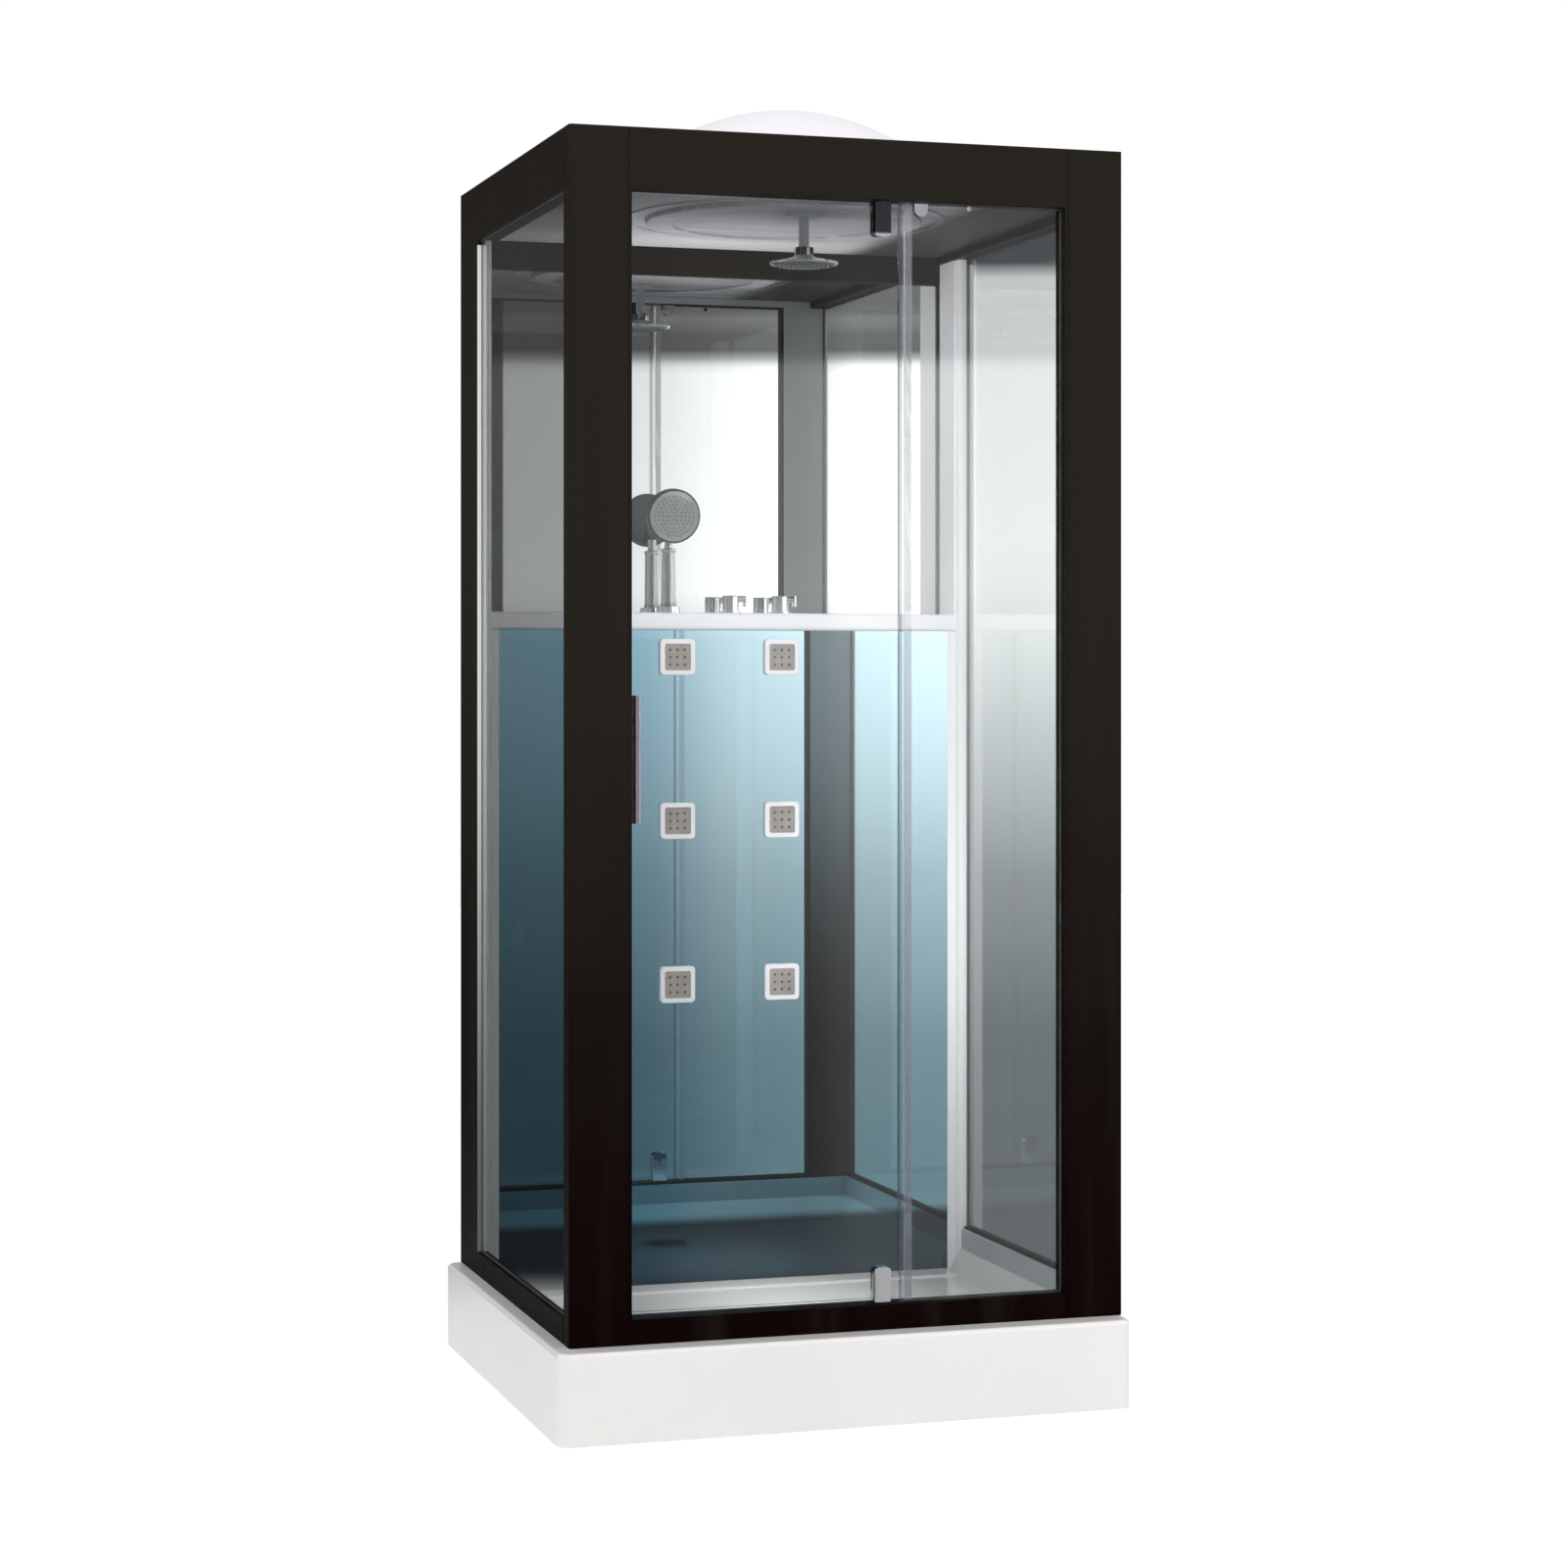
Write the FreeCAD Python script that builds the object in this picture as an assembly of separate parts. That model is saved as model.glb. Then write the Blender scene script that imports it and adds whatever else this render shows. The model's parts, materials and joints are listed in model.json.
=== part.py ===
"""Framed shower cabin with a pivot door, a rear wall unit with body jets, and a moulded tray.

Millimetres. Origin: centre of the tray's footprint, on the floor.
+X runs along the front towards the fixed pane, +Y to the wall behind, +Z up.
The frame stands flush with the tray's right and rear edges, and the tray stands out at the left and in front.
"""

import FreeCAD, Part
import math
import os

V = FreeCAD.Vector
X_AXIS = V(1, 0, 0)
Y_AXIS = V(0, 1, 0)
Z_AXIS = V(0, 0, 1)

# How far the middle of a quarter arc stands off its corner, as a share of the radius
arc_share = 1 - math.sqrt(0.5)

# Shared allowances
overrun = 5.0  # how far a cutting body runs past the face that it opens
seat_gap = 0.3  # gap between pieces of different bodies that nearly touch
running_clearance = 0.05  # radial play of a pin in its bush
screw_clearance = 0.2

# Tray
tray_width = 1000.0
tray_depth = 900.0
tray_height = 150.0
tray_wall = 6.0
tray_corner_radius = 22.0
tray_edge_radius = 7.0
basin_depth = 43.0
basin_setback = 6.0  # basin's upper edge from the glazing beads
basin_draft = 20.0  # how far each basin side leans in on its way down
basin_corner_radius = 60.0
bay_setback = 4.0  # bay's front edge ahead of the corner profiles
ledge_rise = 3.0
ledge_depth = 62.0  # from the ledge's front to the console

# Frame envelope on the tray
left_overhang = 28.0
front_overhang = 46.0
frame_height = 1990.0

# Frame sections
section_wall = 2.0
section_radius = 6.0
post_cap_thickness = 3.0
post_width = 105.0
post_depth = 45.0
front_beam_depth = 45.0
beam_height = 100.0
rail_height = 42.0
side_beam_depth = 45.0
side_rail_depth = 24.0
groove_width = 9.0
groove_depth = 12.0
bead_thickness = 6.0
bead_height = 38.0
bead_radius = 3.0
edge_line_width = 1.6  # shadow line pressed along each front post's inner edge
edge_line_inset = 5.0
edge_line_depth = 1.0

# Glass
glass_thickness = 6.0
glass_setback = 9.0  # side panes from the frame's outer face
front_glass_setback = 20.0
glass_engagement = 9.0  # how deep a pane's edge sits in its groove
gasket_play = 0.2
gasket_lip = 3.0

# Rear side panels and corner profiles
side_panel_thickness = 8.0
side_panel_depth = 147.0
side_panel_wall = 1.5
profile_width = 18.0
profile_nose = 19.0  # profile's front face ahead of the console front
profile_tail = 20.0
profile_radius = 6.0
profile_foot_length = 24.0
glass_rear_engagement = 14.0

# Rear unit
console_depth = 125.0  # console front to the cabin's back
console_height = 1222.0
trim_width = 17.0
trim_proud = 2.0
trim_flange_thickness = 14.0
trim_flange_width = 20.0
console_glass_thickness = 6.0
shelf_thickness = 33.0
shelf_nose = 5.0
shelf_nose_radius = 8.0
niche_depth = 93.0  # console front to the niche mirror
niche_mirror_thickness = 5.0
cheek_thickness = 3.0
header_height = 138.0
header_depth = 20.0
header_offset = 21.0  # header's rear face from the cladding
cladding_thickness = 4.0

# Body jets
jet_columns = 2
jet_rows = 3
jet_column_spacing = 204.0
jet_row_spacing = 305.5
jet_lowest = 561.0  # lowest jets above the basin floor
bezel_size = 68.0
bezel_radius = 8.0
bezel_proud = 8.0
bezel_edge_radius = 2.5
bezel_window = 50.0
bezel_window_radius = 4.0
face_play = 0.5
face_recess = 2.0
face_thickness = 4.0
nub_pitch = 14.0
nub_radius = 3.0
nub_tip_radius = 1.8
nub_height = 2.5
nubs_per_side = 3
jet_hole_radius = 23.0
jet_body_radius = 22.0
jet_flange_radius = 29.0
jet_flange_thickness = 5.0
jet_body_length = 7.0

# Pipes and valves
pipe_radius = 7.5
branch_radius = 6.0  # pipes that join another pipe at a right angle
spur_radius = 4.0  # short spurs off those pipes
manifold_offset = 62.0  # riser axis behind the console front
manifold_drop = 60.0  # cross pipe below the top jets
valve_radius = 18.0
valve_length = 36.0
valve_stem_radius = 5.0
valve_stem_rise = 12.0
supply_offset = 94.0
supply_spacing = 150.0
inlet_height = 300.0
inlet_thread_radius = 10.48
inlet_thread_length = 14.0
inlet_hex_radius = 14.0
inlet_hex_length = 8.0
inlet_recess = 1.0
cladding_hole_radius = 25.0
rear_pipe_offset = 11.0  # overhead feed's axis ahead of the cladding

# Lever knobs on the shelf
control_setback = 60.0  # axis ahead of the niche mirror
mixer_offset = 13.0  # from the cabin's middle
diverter_offset = 110.0
escutcheon_radius = 20.0
escutcheon_height = 3.0
knob_radius = 15.5
knob_height = 33.0
knob_crown_radius = 2.0
knob_socket_play = 0.4
lever_radius = 6.0
lever_reach = 17.0
lever_drop = 14.0
lever_finger_radius = 4.5

# Hand shower
hand_shower_offset = -108.6
socket_radius = 24.0
socket_height = 6.0
socket_barrel_radius = 20.0
socket_barrel_length = 40.0
collar_radius = 18.0
collar_height = 5.0
collar_wall = 3.5
collar_length = 38.0
handle_foot_radius = 14.0
handle_top_radius = 13.0
handle_length = 102.0
handle_spigot_length = 30.0
handle_flare_height = 7.5  # where the handle's foot has narrowed
neck_ring_radius = 14.5
neck_ring_height = 6.0
neck_ring_bevel = 2.0
neck_radius = 8.0
neck_rise = 22.0
head_radius = 51.0
head_thickness = 18.0
head_edge_radius = 3.5
head_rise = 65.5  # head's centre above the handle's top
head_forward = 40.0  # head's face ahead of the handle's axis
head_tilt = 8.0  # degrees that the face looks down
head_boss_radius = 13.0
head_boss_share = 0.35  # boss's joint below the head's centre, as a share of its radius
spray_radius = 47.0
spray_thickness = 3.0
spray_proud = 1.0

# Roof
roof_drop = 86.0  # roof panel's underside below the frame's top
roof_thickness = 4.0
roof_flange = 30.0
roof_opening_radius = 220.0
dome_radius = 262.0
dome_height = 185.0
dome_wall = 4.0
dome_shoulder_radius = 188.0
dome_shoulder_height = 138.0
dome_bend = (240.0, 96.0)  # point on the flank: radius, and height above the rim
dome_flange_width = 18.0
ring_radius = 245.0
ring_inner_radius = 200.0
ring_height = 9.0
ring_rebate = 10.0
ring_edge_radius = 3.0
diffuser_thickness = 3.0
roof_step_radius = 285.0
roof_step_width = 12.0
roof_step_height = 3.0

# Overhead shower
overhead_drop = 69.0  # ball centre below the roof panel
overhead_forward = 116.0  # ball centre ahead of the roof opening's centre
stub_radius = 9.0
ball_radius = 12.0
ball_play = 0.3
cup_radius = 17.0
cup_above = 5.0
overhead_radius = 60.0
overhead_thickness = 12.0
overhead_gap = 13.0  # disc's top below the ball centre
overhead_edge_radius = 4.0
overhead_spray_radius = 52.0
overhead_spray_thickness = 2.0
overhead_spray_proud = 1.5
escutcheon_ceiling_radius = 30.0
escutcheon_ceiling_height = 6.0

# Door and its hinges
door_width = 464.0
door_side_gap = 4.0
door_top_gap = 10.0
door_bottom_gap = 8.0
pivot_inset = 31.0
hinge_width = 32.0
hinge_height = 58.0
hinge_plate_thickness = 9.0
hinge_core_height = 18.0
hinge_edge_radius = 3.0
hinge_end_radius = 10.0  # corners away from the pin
hinge_play = 0.2
pin_radius = 5.0
pin_engagement = 12.0
bush_radius = 8.0
bush_length = 14.0
bush_flange_radius = 12.0
bush_flange_thickness = 2.0
hinge_screw_spacing = 16.0
hinge_screw_radius = 3.0
hinge_screw_head_radius = 5.5
hinge_screw_head_length = 3.0
grip_length = 210.0
grip_height = 956.0  # grip's middle above the tray's rim
grip_width = 12.0
grip_inset = 2.0
grip_outer_depth = 12.0
grip_inner_depth = 14.0
grip_edge_radius = 3.5
grip_screw_spacing = 150.0
grip_screw_radius = 2.5
latch_thickness = 3.0
latch_depth = 8.0
latch_nose_radius = 2.4
drip_height = 5.5
drip_depth = 6.0
drip_end_gap = 3.0

# Fixed pane's free edge
edge_seal_gap = 2.5
edge_seal_width = 22.0
edge_seal_depth = 12.0
edge_seal_grip = 13.0
edge_seal_radius = 2.5
edge_seal_end_gap = 0.3
clip_offset = 3.0
clip_radius = 12.0
clip_drop = 12.0
clip_thickness = 4.0
clip_edge_radius = 1.0
fixing_share = 0.371  # fixing's place across the fixed pane's free width
fixing_radius = 4.0
fixing_length = 5.0

# Support frame, feet and waste
tube_size = 25.0
tube_wall = 2.0
bearer_inset = 200.0  # bearer's middle from the tray's front and rear edges
bearer_end_gap = 70.0  # bearer's ends from the tray's sides
cross_spacing = 300.0
foot_inset = 30.0
foot_pad_radius = 22.0
foot_pad_height = 9.0
foot_pad_top_radius = 14.0
foot_pad_edge = 4.5
foot_rod_radius = 5.0
foot_nut_radius = 9.0
foot_nut_height = 8.0
waste_x = 14.0
waste_y = -120.0
waste_hole_radius = 44.0
waste_recess_radius = 52.0
waste_recess_depth = 2.0
waste_flange_radius = 51.5
waste_flange_thickness = 1.8
waste_body_radius = 40.0
waste_body_length = 84.0
waste_body_wall = 2.5
waste_neck_radius = 43.0
waste_neck_length = 12.0
spigot_radius = 20.0
spigot_length = 40.0
spigot_wall = 2.0
spigot_drop = 56.0
spigot_boss_radius = 24.0
spigot_boss_reach = 4.0  # boss's face beyond the waste body
waste_port_width = 90.0  # gap in the rear skirt for the waste pipe
waste_port_height = 90.0
cover_radius = 41.0
cover_thickness = 3.0
cover_crown = 2.0
cover_stem_radius = 12.0
cover_stem_length = 22.0

# Frame planes worked out from the sizes above
frame_left = -tray_width / 2 + left_overhang
frame_right = tray_width / 2
frame_front = -tray_depth / 2 + front_overhang
frame_back = tray_depth / 2
frame_foot = tray_height
frame_top = frame_foot + frame_height
frame_middle = (frame_left + frame_right) / 2
beam_under = frame_top - beam_height
rail_top = frame_foot + rail_height
floor_z = tray_height - basin_depth
ledge_z = floor_z + ledge_rise
post_inner_left = frame_left + post_width
post_inner_right = frame_right - post_width
post_back = frame_front + post_depth
front_inner = frame_front + front_beam_depth
side_panel_front = frame_back - side_panel_depth
console_front = frame_back - console_depth
cladding_front = frame_back - cladding_thickness
console_top = floor_z + console_height
shelf_top = console_top + shelf_thickness
mirror_front = console_front + niche_depth
header_under = frame_top - header_height
header_back = cladding_front - header_offset
header_front = header_back - header_depth
roof_under = frame_top - roof_drop
control_y = mirror_front - control_setback
profile_front = console_front - profile_nose
profile_back = console_front + profile_tail

# Bearers under the tray
bearer_y = tray_depth / 2 - bearer_inset
bearer_reach = tray_width / 2 - bearer_end_gap

# Pane planes
front_glass_out = frame_front + front_glass_setback
front_glass_in = front_glass_out + glass_thickness
front_glass_mid = front_glass_out + glass_thickness / 2
left_glass = (frame_left + glass_setback, frame_left + glass_setback + glass_thickness)
right_glass = (frame_right - glass_setback - glass_thickness, frame_right - glass_setback)
left_panel = (frame_left, frame_left + side_panel_thickness)
right_panel = (frame_right - side_panel_thickness, frame_right)
left_profile = (left_glass[1] + seat_gap, left_glass[1] + seat_gap + profile_width)
right_profile = (right_glass[0] - seat_gap - profile_width, right_glass[0] - seat_gap)
blue_left = left_profile[1] + trim_width
blue_right = right_profile[0] - trim_width

# Door and fixed pane across the front
door_left = post_inner_left + door_side_gap
door_right = door_left + door_width
door_foot = rail_top + door_bottom_gap
door_top = beam_under - door_top_gap
pivot_x = door_right - pivot_inset
seal_left = door_right + edge_seal_gap
seal_right = seal_left + edge_seal_width
pane_left = seal_right - edge_seal_grip
grip_middle = frame_foot + grip_height
groove_left = pane_left - edge_seal_grip

# Roof centre
roof_centre_x = frame_middle
roof_centre_y = (front_inner + console_front) / 2


def at(axis, u, v, along):
    """A point from its two section coordinates and its place along the extrusion axis."""
    if axis == "x":
        return V(along, u, v)
    if axis == "y":
        return V(u, along, v)
    return V(u, v, along)


def outline(axis, u0, u1, v0, v1, along, radii):
    """Closed outline of a rectangle with its own radius at each corner, from the low corner round."""
    corners = ((u0, v0, 1, 1), (u1, v0, -1, 1), (u1, v1, -1, -1), (u0, v1, 1, -1))
    edges = []
    for index, (u, v, du, dv) in enumerate(corners):
        r = radii[index]
        first = (u, v + dv * r) if index % 2 == 0 else (u + du * r, v)
        last = (u + du * r, v) if index % 2 == 0 else (u, v + dv * r)
        if r > 0:
            cut = r * arc_share
            middle = (u + du * cut, v + dv * cut)
            points = [at(axis, *p, along) for p in (first, middle, last)]
            edges.append(Part.Arc(*points).toShape())
        after = corners[(index + 1) % 4]
        r2 = radii[(index + 1) % 4]
        start = (after[0], after[1] + after[3] * r2)
        if (index + 1) % 2:
            start = (after[0] + after[2] * r2, after[1])
        if math.hypot(start[0] - last[0], start[1] - last[1]) > 0:
            line = Part.LineSegment(at(axis, *last, along), at(axis, *start, along))
            edges.append(line.toShape())
    return Part.Wire(Part.__sortEdges__(edges))


def bar(axis, u0, u1, v0, v1, start, end, radii=(0, 0, 0, 0)):
    """Straight bar along an axis; its section may round each corner."""
    face = Part.Face(outline(axis, u0, u1, v0, v1, start, radii))
    direction = {"x": X_AXIS, "y": Y_AXIS, "z": Z_AXIS}[axis]
    return face.extrude(direction * (end - start))


def box(x0, x1, y0, y1, z0, z1):
    """Square-edged block between two corners."""
    return Part.makeBox(x1 - x0, y1 - y0, z1 - z0, V(x0, y0, z0))


def rod(x, y, z0, z1, radius):
    """Upright cylinder."""
    return Part.makeCylinder(radius, z1 - z0, V(x, y, z0), Z_AXIS)


def rod_y(x, z, y0, y1, radius):
    """Cylinder that runs front to back."""
    return Part.makeCylinder(radius, y1 - y0, V(x, y0, z), Y_AXIS)


def rod_x(y, z, x0, x1, radius):
    """Cylinder that runs left to right."""
    return Part.makeCylinder(radius, x1 - x0, V(x0, y, z), X_AXIS)


def turned(x, y, profile):
    """Solid of revolution about an upright axis from (radius, height) points and three-point arcs."""
    edges = []
    place = profile[0][0]
    for step in profile[1:]:
        points = [V(x + r, y, z) for r, z in (place, *step)]
        shape = Part.Arc(*points) if len(points) == 3 else Part.LineSegment(*points)
        edges.append(shape.toShape())
        place = step[-1]
    face = Part.Face(Part.Wire(edges))
    return face.revolve(V(x, y, 0), Z_AXIS, 360)


def crown_arc(radius, edge, rise):
    """Middle and end of the arc of a round crown, from its edge to its top on the axis."""
    sphere = (radius * radius + rise * rise) / (2 * rise)
    half = math.asin(radius / sphere) / 2
    return (sphere * math.sin(half), edge + rise - sphere * (1 - math.cos(half))), (0, edge + rise)


def fused(solids):
    """One solid from several that touch."""
    whole = solids[0].multiFuse(solids[1:]) if len(solids) > 1 else solids[0]
    return whole.removeSplitter()


def hexagon(x, z, y0, y1, radius):
    """Hexagonal bar that runs front to back."""
    points = [
        V(x + radius * math.cos(math.radians(60 * i)), y0, z + radius * math.sin(math.radians(60 * i)))
        for i in range(7)
    ]
    return Part.Face(Part.makePolygon(points)).extrude(Y_AXIS * (y1 - y0))


def hollow(axis, u0, u1, v0, v1, start, end, radii, wall=section_wall):
    """Extruded box section, open at both ends."""
    outer = bar(axis, u0, u1, v0, v1, start, end, radii)
    bore = bar(axis, u0 + wall, u1 - wall, v0 + wall, v1 - wall, start - overrun, end + overrun)
    return outer.cut(bore)


def lined_groove(outer, shell, axis, u0, u1, v0, v1, start, end):
    """Cuts a groove into a hollow section and closes it with a wall round the groove."""
    w = section_wall
    liner = bar(axis, u0 - w, u1 + w, v0 - w, v1 + w, start, end).common(outer)
    return shell.fuse(liner).cut(bar(axis, u0, u1, v0, v1, start, end)).removeSplitter()


def grooved(axis, u0, u1, v0, v1, start, end, radii, grooves):
    """Hollow section with glazing grooves, each given as (u0, u1, v0, v1, start, end)."""
    outer = bar(axis, u0, u1, v0, v1, start, end, radii)
    shell = hollow(axis, u0, u1, v0, v1, start, end, radii)
    for groove in grooves:
        shell = lined_groove(outer, shell, axis, *groove)
    return shell


def tray():
    """Moulded tray: skirt, rim, drafted basin, ledge, rear bay and waste pipe port, hollow underneath."""
    left, right = -tray_width / 2, tray_width / 2
    front, back = -tray_depth / 2, tray_depth / 2
    r, w, c = tray_corner_radius, tray_wall, basin_corner_radius
    body = bar("z", left, right, front, back, 0, tray_height, (r, r, r, r))
    upper = [e for e in body.Edges if min(v.Z for v in e.Vertexes) > tray_height - w]
    body = body.makeFillet(tray_edge_radius, upper)
    inset = side_rail_depth + bead_thickness + basin_setback
    x0, x1 = frame_left + inset, frame_right - inset
    y0, y1 = front_inner + bead_thickness + basin_setback, profile_front - bay_setback
    lean = basin_draft
    low = outline("z", x0 + lean, x1 - lean, y0 + lean, y1, floor_z, (c, c, 0, 0))
    high = outline("z", x0, x1, y0, y1, tray_height, (c, c, 0, 0))
    body = body.cut(Part.makeLoft([low, high], True, True))
    body = body.fuse(box(x0, x1, console_front - ledge_depth, y1, floor_z, ledge_z))
    bay_left, bay_right = left_panel[1], right_panel[0]
    body = body.cut(box(bay_left, bay_right, y1, back - w, ledge_z, tray_height + overrun))
    under = floor_z - w
    inner = bar("z", left + w, right - w, front + w, back - w, -overrun, tray_height - w, (r - w,) * 4)
    hollows = [
        box(left, right, front, back, -overrun, under),
        box(left, right, front, y0 - w, under, tray_height - w),
        box(left, x0 - w, front, y1 - w, under, tray_height - w),
        box(x1 + w, right, front, y1 - w, under, tray_height - w),
        box(left, bay_left - w, front, back, under, tray_height - w),
    ]
    for space in hollows:
        body = body.cut(space.common(inner))
    recess = rod(waste_x, waste_y, floor_z - waste_recess_depth, floor_z + overrun, waste_recess_radius)
    hole = rod(waste_x, waste_y, under - overrun, floor_z, waste_hole_radius)
    port = box(waste_x - waste_port_width / 2, waste_x + waste_port_width / 2, back - w - overrun,
               back + overrun, -overrun, waste_port_height)
    return body.cut(recess).cut(hole).cut(port).removeSplitter()


def support_frame():
    """Welded square tubes that carry the tray's floor: two bearers and two cross tubes."""
    top = floor_z - tray_wall
    low = top - tube_size
    half = tube_size / 2
    tubes = []
    for side in (-1, 1):
        y = side * bearer_y
        tubes.append(hollow("x", y - half, y + half, low, top, -bearer_reach, bearer_reach,
                            (0, 0, 0, 0), tube_wall))
        x = side * cross_spacing / 2
        reach = bearer_y - half
        tubes.append(hollow("y", x - half, x + half, low, top, -reach, reach, (0, 0, 0, 0), tube_wall))
    return fused(tubes)


def levelling_feet():
    """Threaded feet: pad, rod and lock nut, one under each bearer end and each cross tube's middle."""
    low = floor_z - tray_wall - tube_size
    places = []
    for side in (-1, 1):
        places.append((side * cross_spacing / 2, 0))
        places.append((side * (bearer_reach - foot_inset), -bearer_y))
        places.append((side * (bearer_reach - foot_inset), bearer_y))
    feet = []
    for x, y in places:
        pad = turned(x, y, [
            ((0, 0),), ((foot_pad_radius, 0),), ((foot_pad_radius, foot_pad_edge),),
            ((foot_pad_top_radius, foot_pad_height),), ((0, foot_pad_height),), ((0, 0),),
        ])
        stem = rod(x, y, foot_pad_height, low, foot_rod_radius)
        nut = rod(x, y, low - foot_nut_height, low, foot_nut_radius)
        feet.append(fused([pad, stem, nut]))
    return Part.makeCompound(feet)


def waste_trap():
    """Waste body under the tray with its clamping flange in the floor and a spigot to the rear."""
    seat = floor_z - waste_recess_depth
    under = floor_z - tray_wall
    low = under - waste_body_length
    flange = rod(waste_x, waste_y, seat, seat + waste_flange_thickness, waste_flange_radius)
    neck = rod(waste_x, waste_y, under - waste_neck_length, seat, waste_neck_radius)
    body = rod(waste_x, waste_y, low, under - waste_neck_length, waste_body_radius)
    pipe_z = under - spigot_drop
    shoulder = waste_y + waste_body_radius + spigot_boss_reach
    boss = rod_y(waste_x, pipe_z, waste_y, shoulder, spigot_boss_radius)
    outlet = rod_y(waste_x, pipe_z, shoulder, shoulder + spigot_length, spigot_radius)
    whole = fused([flange, neck, body, boss, outlet])
    bore = rod(waste_x, waste_y, low + waste_body_wall, seat + overrun, waste_body_radius - waste_body_wall)
    drain = rod_y(waste_x, pipe_z, waste_y, shoulder + spigot_length + overrun, spigot_radius - spigot_wall)
    return whole.cut(bore).cut(drain)


def waste_cover():
    """Lift-out cover: a shallow crowned disc on a hollow stem that stands in the trap."""
    seat = floor_z - waste_recess_depth + waste_flange_thickness + seat_gap
    edge = seat + cover_thickness
    disc = turned(waste_x, waste_y, [
        ((0, seat),), ((cover_radius, seat),), ((cover_radius, edge),),
        crown_arc(cover_radius, edge, cover_crown), ((0, seat),),
    ])
    stem = rod(waste_x, waste_y, seat - cover_stem_length, seat, cover_stem_radius)
    bore = rod(waste_x, waste_y, seat - cover_stem_length - overrun, seat,
               cover_stem_radius - waste_body_wall)
    return disc.fuse(stem.cut(bore)).removeSplitter()


def front_post(side):
    """Front corner post: box section, a groove for the side pane at the back, a line down the front."""
    r = section_radius
    if side == "left":
        x0, x1 = frame_left, post_inner_left
        pane = left_glass
        line = x1 - edge_line_inset
        radii = (r, 0, 0, r)
    else:
        x0, x1 = post_inner_right, frame_right
        pane = right_glass
        line = x0 + edge_line_inset
        radii = (0, r, r, 0)
    middle = sum(pane) / 2
    half = groove_width / 2
    grooves = [(middle - half, middle + half, post_back - groove_depth, post_back + overrun,
                frame_foot, frame_top)]
    if side == "right":
        grooves.append((x0 - overrun, x0 + groove_depth, front_glass_mid - half, front_glass_mid + half,
                        frame_foot, frame_top))
    post = grooved("z", x0, x1, frame_front, post_back, frame_foot, frame_top, radii, grooves)
    cap = bar("z", x0, x1, frame_front, post_back, frame_top - post_cap_thickness, frame_top, radii)
    post = post.fuse(cap).removeSplitter()
    w = edge_line_width / 2
    return post.cut(box(line - w, line + w, frame_front - overrun, frame_front + edge_line_depth,
                        frame_foot - overrun, frame_top + overrun))


def front_beam():
    """Top beam over the door and the fixed pane, with the pane's groove and the upper bush's hole."""
    half = groove_width / 2
    groove = (front_glass_mid - half, front_glass_mid + half, beam_under - overrun,
              beam_under + groove_depth, groove_left, post_inner_right)
    beam = grooved("x", frame_front, front_inner, beam_under, frame_top, post_inner_left, post_inner_right,
                   (0, 0, 0, 0), [groove])
    bore = rod(pivot_x, front_glass_mid, beam_under - overrun, beam_under + bush_length, bush_radius)
    return beam.cut(bore)


def front_rail():
    """Bottom rail under the door and the fixed pane, with the lower bush's hole."""
    half = groove_width / 2
    groove = (front_glass_mid - half, front_glass_mid + half, rail_top - groove_depth,
              rail_top + overrun, groove_left, post_inner_right)
    rail = grooved("x", frame_front, front_inner, frame_foot, rail_top, post_inner_left, post_inner_right,
                   (0, 0, 0, 0), [groove])
    return rail.cut(rod(pivot_x, front_glass_mid, rail_top - bush_length, rail_top + overrun, bush_radius))


def side_span(side, depth):
    """Outer and inner X of a side section, with the middle of its pane's groove."""
    if side == "left":
        return frame_left, frame_left + depth, sum(left_glass) / 2
    return frame_right - depth, frame_right, sum(right_glass) / 2


def side_beam(side):
    """Top beam from the front post to the rear header, stepped in to let the rear side panel pass."""
    x0, x1, middle = side_span(side, side_beam_depth)
    half = groove_width / 2
    groove = (middle - half, middle + half, beam_under - overrun, beam_under + groove_depth,
              post_back, header_front)
    beam = grooved("y", x0, x1, beam_under, frame_top, post_back, header_front, (0, 0, 0, 0), [groove])
    p0, p1 = left_panel if side == "left" else right_panel
    return beam.cut(box(p0, p1, side_panel_front, header_front + overrun, beam_under - overrun,
                        frame_top + overrun))


def side_rail(side):
    """Bottom rail from the front post to the rear side panel."""
    x0, x1, middle = side_span(side, side_rail_depth)
    half = groove_width / 2
    groove = (middle - half, middle + half, rail_top - groove_depth, rail_top + overrun,
              post_back, side_panel_front)
    return grooved("y", x0, x1, frame_foot, rail_top, post_back, side_panel_front, (0, 0, 0, 0), [groove])


def glazing_beads():
    """Rounded inner beads that clip along the three bottom rails."""
    top = frame_foot + bead_height
    r = bead_radius
    left = bar("y", frame_left + side_rail_depth, frame_left + side_rail_depth + bead_thickness,
               frame_foot, top, front_inner, side_panel_front, (0, 0, r, 0))
    right = bar("y", frame_right - side_rail_depth - bead_thickness, frame_right - side_rail_depth,
                frame_foot, top, front_inner, side_panel_front, (0, 0, 0, r))
    front = bar("x", front_inner, front_inner + bead_thickness, frame_foot, top,
                frame_left + side_rail_depth + bead_thickness, frame_right - side_rail_depth - bead_thickness,
                (0, 0, r, 0))
    return Part.makeCompound([left, right, front])


def rear_side_panel(side):
    """Tall hollow side panel of the rear unit."""
    x0, x1 = left_panel if side == "left" else right_panel
    r = section_radius / 2
    radii = (r, 0, 0, r) if side == "left" else (0, r, r, 0)
    panel = hollow("z", x0, x1, side_panel_front, frame_back, frame_foot, frame_top, radii, side_panel_wall)
    cap = bar("z", x0, x1, side_panel_front, frame_back, frame_top - side_panel_wall, frame_top, radii)
    return panel.fuse(cap).removeSplitter()


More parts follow.
